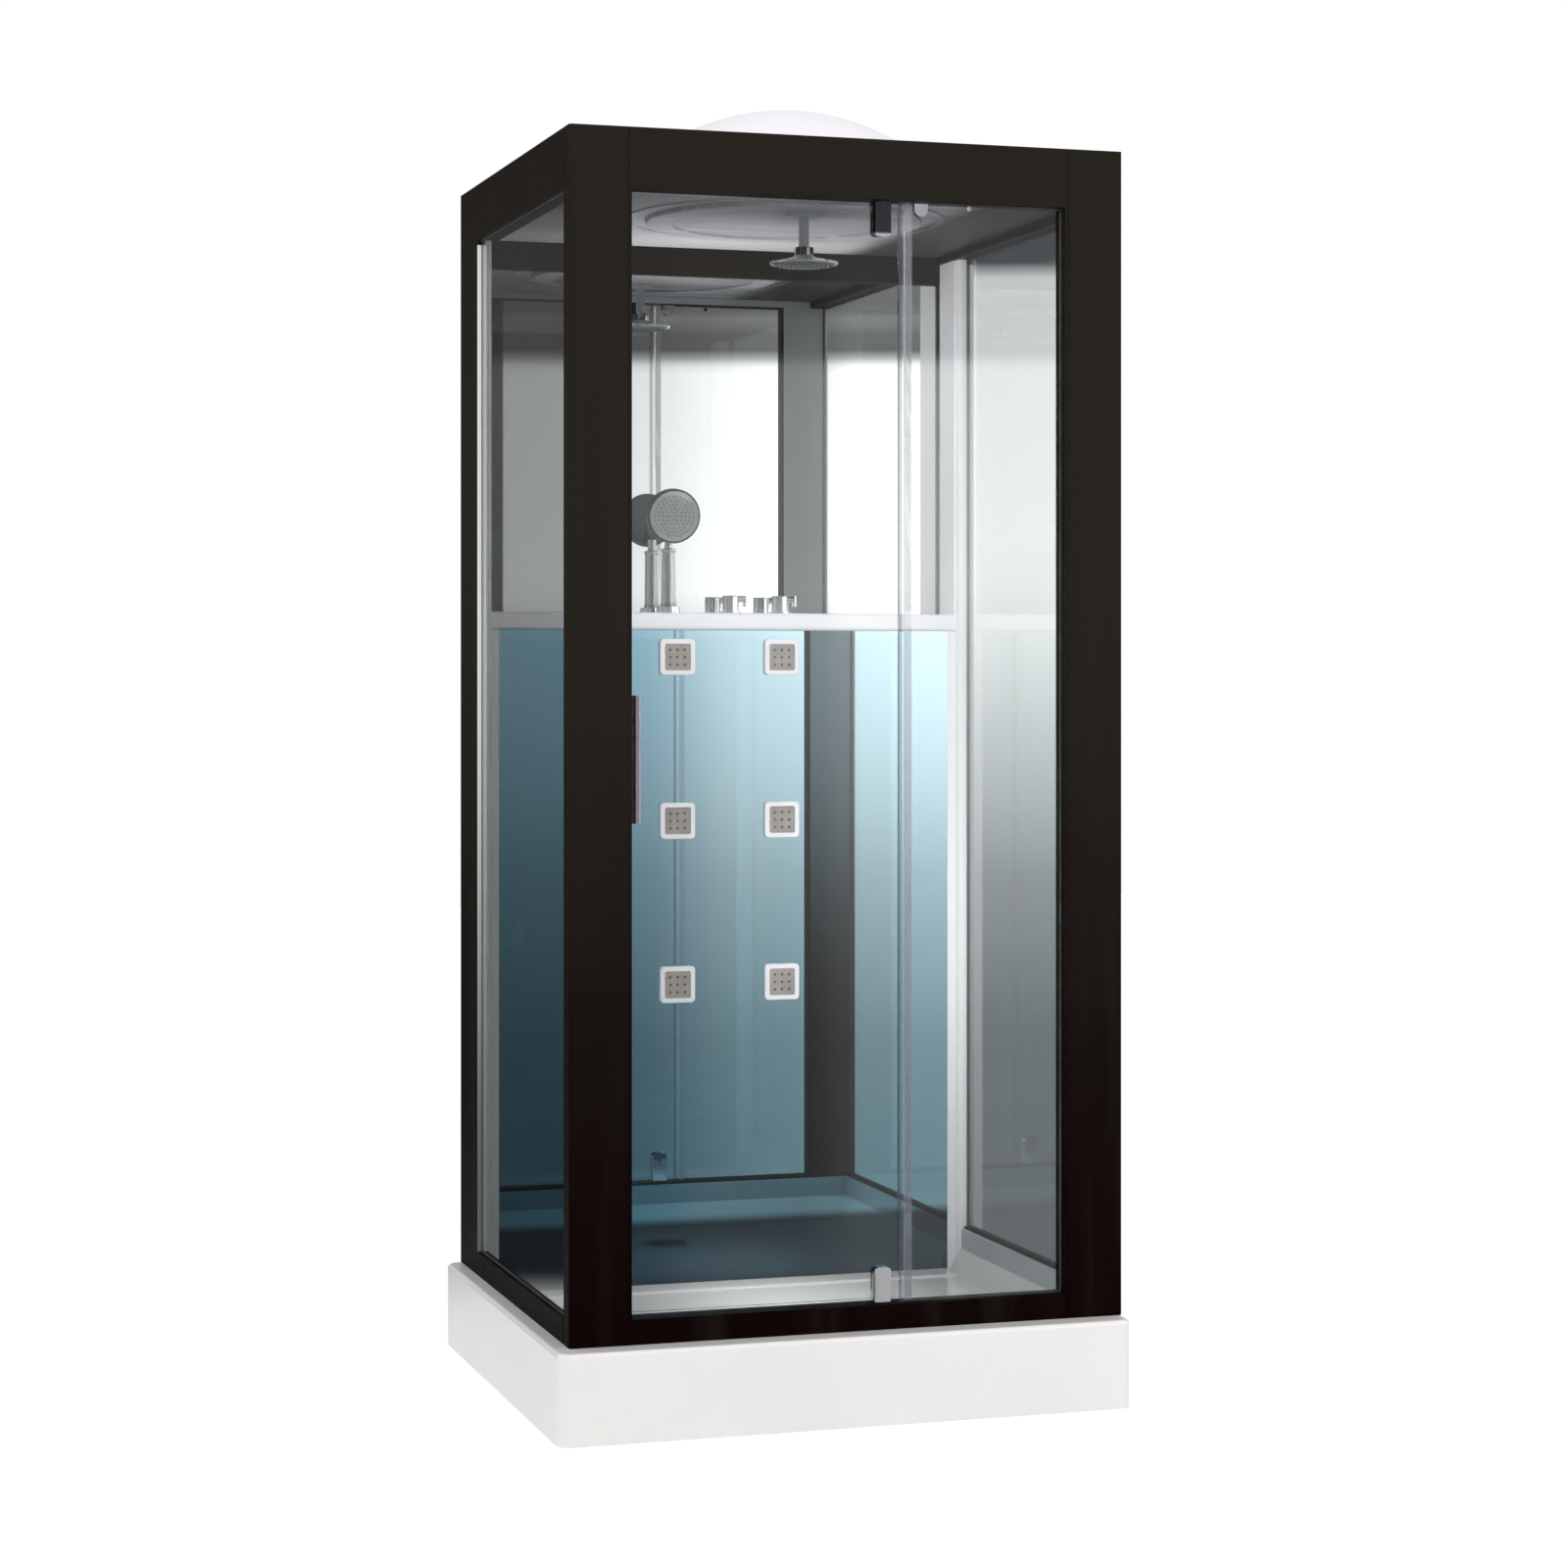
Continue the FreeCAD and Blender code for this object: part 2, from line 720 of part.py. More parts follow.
def rear_header():
    """Cross member over the niche, with a hole for the overhead feed."""
    beam = hollow("x", header_front, header_back, header_under, frame_top,
                  left_panel[1], right_panel[0], (0, 0, 0, 0))
    return beam.cut(rod_y(roof_centre_x, overhead_pipe_z(), header_front - overrun, header_back + overrun,
                          pipe_radius + screw_clearance))


def side_pane(side):
    """Side glass, its edges in the grooves and its rear edge between panel and corner profile."""
    x0, x1 = left_glass if side == "left" else right_glass
    return box(x0, x1, post_back - glass_engagement, side_panel_front + glass_rear_engagement,
               rail_top - glass_engagement, beam_under + glass_engagement)


def fixed_pane():
    """Fixed front glass from the edge seal to the right post."""
    return box(pane_left, post_inner_right + glass_engagement, front_glass_out, front_glass_in,
               rail_top - glass_engagement, beam_under + glass_engagement)


def side_gasket(side):
    """Rubber channel round a side pane's front, top and bottom edges."""
    pane = side_pane(side)
    middle = sum(left_glass if side == "left" else right_glass) / 2
    half = groove_width / 2 - gasket_play
    reach = groove_depth - gasket_play
    outer = box(middle - half, middle + half, post_back - reach, side_panel_front - gasket_play,
                rail_top - reach, beam_under + reach)
    window = box(middle - groove_width, middle + groove_width, post_back + gasket_lip,
                 side_panel_front + overrun, rail_top + gasket_lip, beam_under - gasket_lip)
    return outer.cut(window).cut(pane)


def front_gasket():
    """Rubber channel round the fixed pane's top, right and bottom edges."""
    half = groove_width / 2 - gasket_play
    reach = groove_depth - gasket_play
    outer = box(seal_right + gasket_play, post_inner_right + reach, front_glass_mid - half,
                front_glass_mid + half, rail_top - reach, beam_under + reach)
    window = box(seal_right - overrun, post_inner_right - gasket_lip, front_glass_mid - groove_width,
                 front_glass_mid + groove_width, rail_top + gasket_lip, beam_under - gasket_lip)
    return outer.cut(window).cut(fixed_pane())


def edge_seal():
    """Tall pale seal on the fixed pane's free edge, with a slot for the glass and a soft round nose."""
    half = edge_seal_depth / 2
    r = edge_seal_radius
    body = bar("z", seal_left, seal_right, front_glass_mid - half, front_glass_mid + half,
               rail_top + edge_seal_end_gap, beam_under - edge_seal_end_gap, (r, r, r, r))
    return body.cut(fixed_pane())


def pane_fixings():
    """Half-round clip pair that holds the fixed pane to the beam, and the small round fixing beside it."""
    x = seal_right + clip_offset + clip_radius
    solids = []
    for y in (front_glass_out - clip_thickness, front_glass_in):
        disc = rod_y(x, beam_under - clip_drop, y, y + clip_thickness, clip_radius)
        tab = box(x - clip_radius, x + clip_radius, y, y + clip_thickness, beam_under - clip_drop, beam_under)
        lip = gasket_lip + clip_edge_radius
        trim = box(x - clip_radius, x + clip_radius, front_glass_mid - groove_width / 2,
                   front_glass_mid + groove_width / 2, beam_under - lip, beam_under)
        solids.append(fused([disc, tab]).cut(trim))
    x = seal_right + fixing_share * (post_inner_right - seal_right)
    z = beam_under - gasket_lip - seat_gap - fixing_radius
    solids.append(rod_y(x, z, front_glass_out - fixing_length, front_glass_out, fixing_radius))
    return Part.makeCompound(solids)


def corner_profile(side):
    """Pale extrusion that trims the joint of side pane, side panel and rear unit."""
    x0, x1 = left_profile if side == "left" else right_profile
    r = profile_radius
    nose = bar("z", x0, x1, profile_front, profile_back, ledge_z, beam_under, (r, r, 0, 0))
    foot_front = side_panel_front + glass_rear_engagement + seat_gap
    foot_back = max(profile_back, foot_front + profile_foot_length)
    if side == "left":
        foot = box(left_panel[1], x1, foot_front, foot_back, ledge_z, beam_under)
    else:
        foot = box(x0, right_panel[0], foot_front, foot_back, ledge_z, beam_under)
    return fused([nose, foot])


def console_trim(side):
    """White edge trim of the blue panel, with a flange behind the glass."""
    back = console_front + console_glass_thickness
    r = trim_proud
    if side == "left":
        x0, x1 = left_profile[1], blue_left
        flange = box(x0, x1 + trim_flange_width, back, back + trim_flange_thickness, ledge_z, console_top)
    else:
        x0, x1 = blue_right, right_profile[0]
        flange = box(x0 - trim_flange_width, x1, back, back + trim_flange_thickness, ledge_z, console_top)
    face = bar("z", x0, x1, console_front - trim_proud, back, ledge_z, console_top, (r, r, 0, 0))
    return fused([face, flange])


def jet_places():
    """Centres of the body jets, as (x, z)."""
    first_x = frame_middle - jet_column_spacing * (jet_columns - 1) / 2
    return [
        (first_x + column * jet_column_spacing, floor_z + jet_lowest + row * jet_row_spacing)
        for column in range(jet_columns)
        for row in range(jet_rows)
    ]


def blue_panel():
    """Tinted mirror glass of the console, with a hole for each jet."""
    panel = box(blue_left, blue_right, console_front, console_front + console_glass_thickness,
                ledge_z, console_top)
    for x, z in jet_places():
        panel = panel.cut(rod_y(x, z, console_front - overrun,
                                console_front + console_glass_thickness + overrun, jet_hole_radius))
    return panel


def jet_bezels():
    """Square bezels with rounded corners, seated on the blue panel."""
    solids = []
    half, window = bezel_size / 2, bezel_window / 2
    r, rw = bezel_radius, bezel_window_radius
    y0 = console_front - bezel_proud
    for x, z in jet_places():
        body = bar("y", x - half, x + half, z - half, z + half, y0, console_front, (r, r, r, r))
        front = [e for e in body.Edges if max(v.Y for v in e.Vertexes) < y0 + seat_gap]
        body = body.makeFillet(bezel_edge_radius, front)
        solids.append(body.cut(bar("y", x - window, x + window, z - window, z + window,
                                   y0 - overrun, console_front + overrun, (rw, rw, rw, rw))))
    return Part.makeCompound(solids)


def jet_faces():
    """Soft nozzle plates, each with a square pattern of tapered nubs."""
    solids = []
    half = bezel_window / 2 - face_play
    r = bezel_window_radius
    y0 = console_front - bezel_proud + face_recess
    for x, z in jet_places():
        pieces = [bar("y", x - half, x + half, z - half, z + half, y0, y0 + face_thickness, (r, r, r, r))]
        pieces.append(rod_y(x, z, y0 + face_thickness, console_front, jet_body_radius))
        for i in range(nubs_per_side):
            for j in range(nubs_per_side):
                u = x + (i - (nubs_per_side - 1) / 2) * nub_pitch
                w = z + (j - (nubs_per_side - 1) / 2) * nub_pitch
                pieces.append(Part.makeCone(nub_radius, nub_tip_radius, nub_height, V(u, y0, w), -Y_AXIS))
        solids.append(fused(pieces))
    return Part.makeCompound(solids)


def jet_bodies():
    """Threaded bodies behind the panel, each with a clamping flange and a spur to its riser."""
    solids = []
    back = console_front + console_glass_thickness
    riser_y = console_front + manifold_offset
    for x, z in jet_places():
        barrel = rod_y(x, z, console_front, back + jet_body_length, jet_body_radius)
        flange = rod_y(x, z, back, back + jet_flange_thickness, jet_flange_radius)
        spur = rod_y(x, z, back + jet_body_length, riser_y, branch_radius)
        riser = rod(x, riser_y, z - jet_body_radius, z + jet_body_radius, pipe_radius)
        solids.append(fused([barrel, flange, spur]).cut(riser))
    return Part.makeCompound(solids)


def valve_link():
    """Short pipe between the mixer and the diverter under the shelf."""
    z = console_top - valve_length / 2
    return rod_x(control_y, z, frame_middle + mixer_offset, frame_middle + diverter_offset, pipe_radius)


def manifold():
    """Two risers behind the jets, a cross pipe, and the pipe that feeds it from the valve block."""
    y = console_front + manifold_offset
    places = jet_places()
    columns = (min(x for x, z in places), max(x for x, z in places))
    low = min(z for x, z in places) - pipe_radius
    top = max(z for x, z in places)
    cross = top - manifold_drop
    x_feed = frame_middle + (mixer_offset + diverter_offset) / 2
    pipes = [rod(x, y, low, top + pipe_radius, pipe_radius) for x in columns]
    pipes.append(rod_x(y, cross, columns[0], columns[1], branch_radius))
    pipes.append(rod_y(x_feed, cross, control_y, y, spur_radius))
    pipes.append(rod(x_feed, control_y, cross - pipe_radius, console_top - valve_length / 2, branch_radius))
    return fused(pipes).cut(valve_link())


def valve_block():
    """Mixer and diverter bodies joined by a pipe, with their stems through the shelf."""
    pieces = [valve_link()]
    for offset in (mixer_offset, diverter_offset):
        x = frame_middle + offset
        pieces.append(rod(x, control_y, console_top - valve_length, console_top, valve_radius))
        stem_top = shelf_top + escutcheon_height + valve_stem_rise
        pieces.append(rod(x, control_y, console_top, stem_top, valve_stem_radius))
    return fused(pieces)


def supply_pipes():
    """Hot and cold supplies from their threaded inlets at the back up to the mixer."""
    y = console_front + supply_offset
    x_mixer = frame_middle + mixer_offset
    top = console_top - valve_length / 2
    end = frame_back - inlet_recess
    nut_end = end - inlet_thread_length
    reach = supply_spacing / 2
    pieces = [
        rod_x(y, top, x_mixer - reach, x_mixer + reach, branch_radius),
        rod_y(x_mixer, top, control_y, y, spur_radius),
    ]
    for x in (x_mixer - reach, x_mixer + reach):
        pieces.append(rod(x, y, inlet_height - pipe_radius, top + pipe_radius, pipe_radius))
        pieces.append(rod_y(x, inlet_height, y, nut_end, branch_radius))
        pieces.append(hexagon(x, inlet_height, nut_end - inlet_hex_length, nut_end, inlet_hex_radius))
        pieces.append(rod_y(x, inlet_height, nut_end, end, inlet_thread_radius))
    body = rod(x_mixer, control_y, console_top - valve_length, console_top, valve_radius)
    return fused(pieces).cut(body)


def overhead_pipe_z():
    """Height of the overhead feed's level run above the roof panel."""
    return roof_under + roof_thickness + ring_height + pipe_radius


def level_run():
    """Level run of the overhead feed, from over the stub to the back of the cabin."""
    return rod_y(roof_centre_x, overhead_pipe_z(), ball_centre().y - stub_radius,
                 cladding_front - rear_pipe_offset, branch_radius)


def overhead_feed():
    """Feed from the diverter up behind the niche mirror and over the roof to the stub."""
    y = cladding_front - rear_pipe_offset
    low = console_top - valve_length / 2
    x_diverter = frame_middle + diverter_offset
    riser = rod(roof_centre_x, y, low - pipe_radius, overhead_pipe_z() + pipe_radius, pipe_radius)
    tee = rod_x(y, low, roof_centre_x, x_diverter + pipe_radius, branch_radius)
    spur = rod_y(x_diverter, low, control_y, y, spur_radius)
    body = rod(x_diverter, control_y, console_top - valve_length, console_top, valve_radius)
    return fused([riser, level_run(), tee, spur]).cut(body)


def shelf():
    """White shelf with a rounded nose, bored for the valve stems and the hand shower's socket."""
    r = shelf_nose_radius
    body = bar("x", console_front - shelf_nose, cladding_front, console_top, shelf_top,
               left_profile[1], right_profile[0], (r, 0, 0, r))
    for offset in (mixer_offset, diverter_offset):
        body = body.cut(rod(frame_middle + offset, control_y, console_top - overrun, shelf_top + overrun,
                            valve_stem_radius + screw_clearance))
    body = body.cut(rod(frame_middle + hand_shower_offset, control_y, console_top - overrun,
                        shelf_top + overrun, socket_barrel_radius + screw_clearance))
    reach = pipe_radius + screw_clearance
    pipe_slot = box(roof_centre_x - reach, roof_centre_x + reach,
                    cladding_front - rear_pipe_offset - reach, cladding_front + overrun,
                    console_top - overrun, shelf_top + overrun)
    return body.cut(pipe_slot)


def niche_cheek(side):
    """Side lining of the niche over the shelf."""
    if side == "left":
        x0, x1 = left_profile[1], left_profile[1] + cheek_thickness
    else:
        x0, x1 = right_profile[0] - cheek_thickness, right_profile[0]
    return box(x0, x1, console_front, header_front, shelf_top, beam_under)


def niche_mirror():
    """Mirror at the back of the niche, standing on the shelf between the cheeks."""
    return box(left_profile[1] + cheek_thickness, right_profile[0] - cheek_thickness, mirror_front,
               mirror_front + niche_mirror_thickness, shelf_top, header_under)


def rear_cladding():
    """Back sheet of the rear unit, with an opening at each water inlet."""
    sheet = box(left_panel[1], right_panel[0], cladding_front, frame_back, frame_foot, frame_top)
    x_mixer = frame_middle + mixer_offset
    for side in (-1, 1):
        sheet = sheet.cut(rod_y(x_mixer + side * supply_spacing / 2, inlet_height,
                                cladding_front - overrun, frame_back + overrun, cladding_hole_radius))
    return sheet


def escutcheons():
    """Flat rings on the shelf round the two valve stems."""
    solids = []
    for offset in (mixer_offset, diverter_offset):
        x = frame_middle + offset
        ring = rod(x, control_y, shelf_top, shelf_top + escutcheon_height, escutcheon_radius)
        solids.append(ring.cut(rod(x, control_y, shelf_top - overrun, shelf_top + overrun,
                                   valve_stem_radius + screw_clearance)))
    return Part.makeCompound(solids)


def lever_knob(offset):
    """Chrome knob with a short side lever that ends in a turned-down finger."""
    x = frame_middle + offset
    low = shelf_top + escutcheon_height + seat_gap
    top = shelf_top + knob_height
    c = knob_crown_radius
    body = turned(x, control_y, [
        ((0, low),), ((knob_radius, low),), ((knob_radius, top - c),),
        ((knob_radius - c * arc_share, top - c * arc_share), (knob_radius - c, top)),
        ((0, top),), ((0, low),),
    ])
    arm_z = top - lever_radius
    end = x + knob_radius + lever_reach - lever_finger_radius
    arm = rod_x(control_y, arm_z, x, end, lever_radius)
    finger = rod(end, control_y, arm_z - lever_drop, arm_z + lever_radius, lever_finger_radius)
    knob = fused([body, arm, finger])
    stem_top = shelf_top + escutcheon_height + valve_stem_rise
    socket = rod(x, control_y, low - overrun, stem_top + knob_socket_play,
                 valve_stem_radius + running_clearance)
    return knob.cut(socket)


def shower_socket():
    """Socket through the shelf that holds the hand shower's swivel collar."""
    x = frame_middle + hand_shower_offset
    flange = rod(x, control_y, shelf_top, shelf_top + socket_height, socket_radius)
    barrel = rod(x, control_y, shelf_top - socket_barrel_length, shelf_top, socket_barrel_radius)
    bore = rod(x, control_y, shelf_top - socket_barrel_length - overrun, shelf_top + socket_height + overrun,
               collar_radius + running_clearance)
    return fused([flange, barrel]).cut(bore)


def swivel_collar():
    """Sleeve that turns in the socket and guides the hand shower's spigot."""
    x = frame_middle + hand_shower_offset
    top = shelf_top + socket_height
    sleeve = rod(x, control_y, top - collar_length, top + seat_gap, collar_radius)
    cap = rod(x, control_y, top + seat_gap, top + seat_gap + collar_height, socket_radius - collar_wall / 2)
    bore = rod(x, control_y, top - collar_length - overrun, top + collar_height + overrun,
               collar_radius - collar_wall)
    return fused([sleeve, cap]).cut(bore)


def handle_foot():
    """Height of the hand shower handle's lower end."""
    return shelf_top + socket_height + seat_gap + collar_height + seat_gap


def hand_shower_handle():
    """Turned handle with a spigot below, a ring at the top and a neck."""
    x = frame_middle + hand_shower_offset
    foot = handle_foot()
    top = foot + handle_length
    spigot = collar_radius - collar_wall - running_clearance
    ring_top = top + neck_ring_height
    grip = turned(x, control_y, [
        ((0, foot - handle_spigot_length),), ((spigot, foot - handle_spigot_length),),
        ((spigot, foot),), ((handle_foot_radius + collar_wall / 2, foot),),
        ((handle_foot_radius, foot + handle_flare_height),), ((handle_top_radius, top),),
        ((neck_ring_radius, top + neck_ring_bevel),), ((neck_ring_radius, ring_top),),
        ((neck_radius, ring_top + neck_ring_bevel),), ((neck_radius, ring_top + neck_rise),),
        ((0, ring_top + neck_rise),), ((0, foot - handle_spigot_length),),
    ])
    return grip


def head_centre():
    """Centre of the hand shower's spray face."""
    return V(frame_middle + hand_shower_offset, control_y - head_forward,
             handle_foot() + handle_length + head_rise)


def tilted(shape):
    """Leans a head that was made facing the front, so that its face looks down a little."""
    shape.rotate(head_centre(), X_AXIS, head_tilt)
    return shape


def head_disc():
    """Hand shower head before it is tilted: an edge-rounded disc facing the front."""
    c = head_centre()
    disc = rod_y(c.x, c.z, c.y, c.y + head_thickness, head_radius)
    return disc.makeFillet(head_edge_radius, [e for e in disc.Edges if e.Curve.TypeId == "Part::GeomCircle"])


def hand_shower_head():
    """Round head with a boss behind that runs down onto the neck."""
    c = head_centre()
    neck_top = V(c.x, control_y, handle_foot() + handle_length + neck_ring_height + neck_rise)
    rear = V(c.x, c.y + head_thickness / 2, c.z - head_radius * head_boss_share)
    run = rear - neck_top
    boss = Part.makeCone(neck_radius + screw_clearance, head_boss_radius, run.Length, neck_top, run)
    joint = Part.makeSphere(neck_radius + screw_clearance, neck_top)
    recess = rod_y(c.x, c.z, c.y - overrun, c.y + spray_thickness, spray_radius)
    head = tilted(head_disc())
    whole = fused([head, boss, joint])
    below = rod(c.x, control_y, handle_foot(), neck_top.z, head_boss_radius)
    return whole.cut(below).cut(tilted(recess))


def spray_face():
    """Grey nozzle face set in the hand shower's head."""
    c = head_centre()
    return tilted(rod_y(c.x, c.z, c.y - spray_proud, c.y + spray_thickness, spray_radius))


def roof_panel():
    """Pan-shaped roof: a plate with a round opening, an upstand with the feed's hole, and a raised ring."""
    x0, x1 = frame_left + side_beam_depth, frame_right - side_beam_depth
    y0, y1 = front_inner, header_front
    w = roof_thickness
    pan = box(x0, x1, y0, y1, roof_under, roof_under + roof_flange)
    inside = box(x0 + w, x1 - w, y0 + w, y1 - w, roof_under + w, roof_under + roof_flange + overrun)
    hole = rod(roof_centre_x, roof_centre_y, roof_under - overrun, roof_under + roof_flange + overrun,
               roof_opening_radius)
    step = rod(roof_centre_x, roof_centre_y, roof_under - roof_step_height, roof_under, roof_step_radius)
    step = step.cut(rod(roof_centre_x, roof_centre_y, roof_under - roof_flange, roof_under + overrun,
                        roof_step_radius - roof_step_width))
    feed_hole = rod_y(roof_centre_x, overhead_pipe_z(), y1 - w - overrun, y1 + overrun,
                      branch_radius + screw_clearance)
    return fused([pan.cut(inside), step]).cut(hole).cut(feed_hole)


def roof_dome():
    """Shallow white dome, flatter over the crown and steeper at the rim, open for the overhead feed."""
    base = roof_under + roof_thickness
    top = base + dome_height
    w = dome_wall
    shoulder = (dome_shoulder_radius, base + dome_shoulder_height)
    bend = (dome_bend[0], base + dome_bend[1])
    rise = top - shoulder[1]
    sphere = (shoulder[0] * shoulder[0] + rise * rise) / (2 * rise)
    shrink = (sphere - w) / sphere
    inner_shoulder = (shoulder[0] * shrink, top - w - rise * shrink)
    inner_crown = crown_arc(inner_shoulder[0], inner_shoulder[1], rise * shrink)
    shell = turned(roof_centre_x, roof_centre_y, [
        ((dome_radius - w, base),), ((dome_radius + dome_flange_width, base),),
        ((dome_radius + dome_flange_width, base + w),), ((dome_radius, base + w),),
        (bend, shoulder), crown_arc(shoulder[0], shoulder[1], rise), ((0, top - w),),
        (inner_crown[0], inner_shoulder), ((bend[0] - w, bend[1]), (dome_radius - w, base)),
    ])
    slot = rod_y(roof_centre_x, overhead_pipe_z(), roof_centre_y,
                 roof_centre_y + dome_radius + dome_flange_width + overrun, pipe_radius + screw_clearance)
    return shell.cut(slot)


def ceiling_ring():
    """Trim ring under the roof opening, with a rebate that carries the diffuser."""
    low = roof_under - ring_height
    e = ring_edge_radius
    ring = turned(roof_centre_x, roof_centre_y, [
        ((ring_inner_radius, low),), ((ring_radius - e, low),),
        ((ring_radius - e * arc_share, low + e * arc_share), (ring_radius, low + e)),
        ((ring_radius, roof_under),), ((ring_inner_radius + ring_rebate, roof_under),),
        ((ring_inner_radius + ring_rebate, low + ring_height / 2),),
        ((ring_inner_radius, low + ring_height / 2),), ((ring_inner_radius, low),),
    ])
    return ring


def diffuser():
    """Opal light diffuser disc that lies in the ceiling ring, bored for the overhead stub."""
    low = roof_under - ring_height / 2
    c = ball_centre()
    disc = rod(roof_centre_x, roof_centre_y, low, low + diffuser_thickness,
               ring_inner_radius + ring_rebate - screw_clearance)
    return disc.cut(rod(c.x, c.y, low - overrun, low + overrun, stub_radius + screw_clearance))


def ball_centre():
    """Centre of the overhead shower's ball joint."""
    return V(roof_centre_x, roof_centre_y - overhead_forward, roof_under - overhead_drop)


def overhead_stub():
    """Ceiling stub with its escutcheon and the ball that carries the overhead shower."""
    c = ball_centre()
    stub = rod(c.x, c.y, c.z, overhead_pipe_z(), stub_radius)
    ball = Part.makeSphere(ball_radius, c)
    low = roof_under - ring_height / 2 - escutcheon_ceiling_height
    rose = rod(c.x, c.y, low, low + escutcheon_ceiling_height, escutcheon_ceiling_radius)
    return fused([stub, rose, ball]).cut(level_run())


def overhead_shower():
    """Round overhead shower with the cup that grips the ball."""
    c = ball_centre()
    top = c.z - overhead_gap
    low = top - overhead_thickness
    e = overhead_edge_radius
    disc = turned(c.x, c.y, [
        ((0, low),), ((overhead_radius - e, low),),
        ((overhead_radius - e * arc_share, low + e * arc_share), (overhead_radius, low + e)),
        ((cup_radius + e, top),), ((cup_radius, top + e),), ((cup_radius, c.z + cup_above),),
        ((0, c.z + cup_above),), ((0, low),),
    ])
    hollow_ball = Part.makeSphere(ball_radius + ball_play, c)
    recess = rod(c.x, c.y, low - overrun, low + overhead_spray_thickness, overhead_spray_radius)
    return disc.cut(hollow_ball).cut(recess)


def overhead_spray():
    """Nozzle plate under the overhead shower."""
    c = ball_centre()
    low = c.z - overhead_gap - overhead_thickness
    return rod(c.x, c.y, low - overhead_spray_proud, low + overhead_spray_thickness, overhead_spray_radius)


def hinge_spans():
    """(foot, top, core foot, core top) of the lower and the upper hinge block."""
    low = rail_top + bush_flange_thickness + seat_gap
    high = beam_under - bush_flange_thickness - seat_gap
    return [
        (low, low + hinge_height, low, low + hinge_core_height),
        (high - hinge_height, high, high - hinge_core_height, high),
    ]


def pin_spans():
    """(foot, top) of the lower and the upper pivot pin."""
    lower, upper = hinge_spans()
    return [(rail_top - pin_engagement, lower[3]), (upper[2], beam_under + pin_engagement)]


def hinge_screw_places():
    """(x, z) of the screws through the hinge blocks and the glass."""
    lower, upper = hinge_spans()
    heights = ((lower[3] + lower[1]) / 2, (upper[0] + upper[2]) / 2)
    return [(pivot_x + side * hinge_screw_spacing / 2, z) for z in heights for side in (-1, 1)]


def grip_screw_places():
    """(x, z) of the screws through the door grips and the glass."""
    x = door_left + grip_inset + grip_width / 2
    return [(x, grip_middle + side * grip_screw_spacing / 2) for side in (-1, 1)]


def door_pane():
    """Door glass, notched for the hinge cores and drilled for its screws."""
    pane = box(door_left, door_right, front_glass_out, front_glass_in, door_foot, door_top)
    for foot, top, core_foot, core_top in hinge_spans():
        reach = hinge_width / 2 + hinge_play
        pane = pane.cut(box(pivot_x - reach, pivot_x + reach, front_glass_out - overrun,
                            front_glass_in + overrun, core_foot - hinge_play, core_top + hinge_play))
    for x, z in hinge_screw_places():
        pane = pane.cut(rod_y(x, z, front_glass_out - overrun, front_glass_in + overrun,
                              hinge_screw_radius + screw_clearance))
    for x, z in grip_screw_places():
        pane = pane.cut(rod_y(x, z, front_glass_out - overrun, front_glass_in + overrun,
                              grip_screw_radius + screw_clearance))
    return pane


def hinge_plate(lower, y0, y1, foot, top, radii):
    """Hinge plate with its own upright edges, and round corners at the end away from the pin."""
    x0, x1 = pivot_x - hinge_width / 2, pivot_x + hinge_width / 2
    c = hinge_end_radius
    ends = (0, 0, c, c) if lower else (c, c, 0, 0)
    plate = bar("z", x0, x1, y0, y1, foot, top, radii)
    return plate.common(bar("y", x0, x1, foot, top, y0, y1, ends))


def hinge_blocks():
    """Outer hinge blocks: a plate on the glass and a core through the notch that holds the pin."""
    solids = []
    x0, x1 = pivot_x - hinge_width / 2, pivot_x + hinge_width / 2
    r = hinge_edge_radius
    for (foot, top, core_foot, core_top), pin in zip(hinge_spans(), pin_spans()):
        plate = hinge_plate(core_foot == foot, front_glass_out - hinge_plate_thickness, front_glass_out,
                            foot, top, (r, r, 0, 0))
        core = box(x0, x1, front_glass_out, front_glass_in, core_foot, core_top)
        block = fused([plate, core]).cut(rod(pivot_x, front_glass_mid, pin[0], pin[1], pin_radius))
        for x, z in hinge_screw_places():
            block = block.cut(rod_y(x, z, front_glass_out - hinge_plate_thickness / 2, front_glass_in,
                                    hinge_screw_radius))
        solids.append(block)
    return Part.makeCompound(solids)


def hinge_plates():
    """Inner clamp plates of the hinges, with a hollow past the pin and flat seats for the screw heads."""
    solids = []
    r = hinge_edge_radius
    face = front_glass_in + hinge_plate_thickness
    for (foot, top, core_foot, core_top), pin in zip(hinge_spans(), pin_spans()):
        plate = hinge_plate(core_foot == foot, front_glass_in, face, foot, top, (0, 0, r, r))
        plate = plate.cut(rod(pivot_x, front_glass_mid, pin[0], pin[1], pin_radius + hinge_play))
        for x, z in hinge_screw_places():
            plate = plate.cut(rod_y(x, z, front_glass_in - overrun, face + overrun, hinge_screw_radius))
            plate = plate.cut(rod_y(x, z, face - hinge_screw_head_length, face + overrun,
                                    hinge_screw_head_radius))
        solids.append(plate)
    return Part.makeCompound(solids)


def hinge_pins():
    """Pivot pins, pressed into the hinge cores and running in the bushes."""
    return Part.makeCompound([rod(pivot_x, front_glass_mid, *span, pin_radius) for span in pin_spans()])


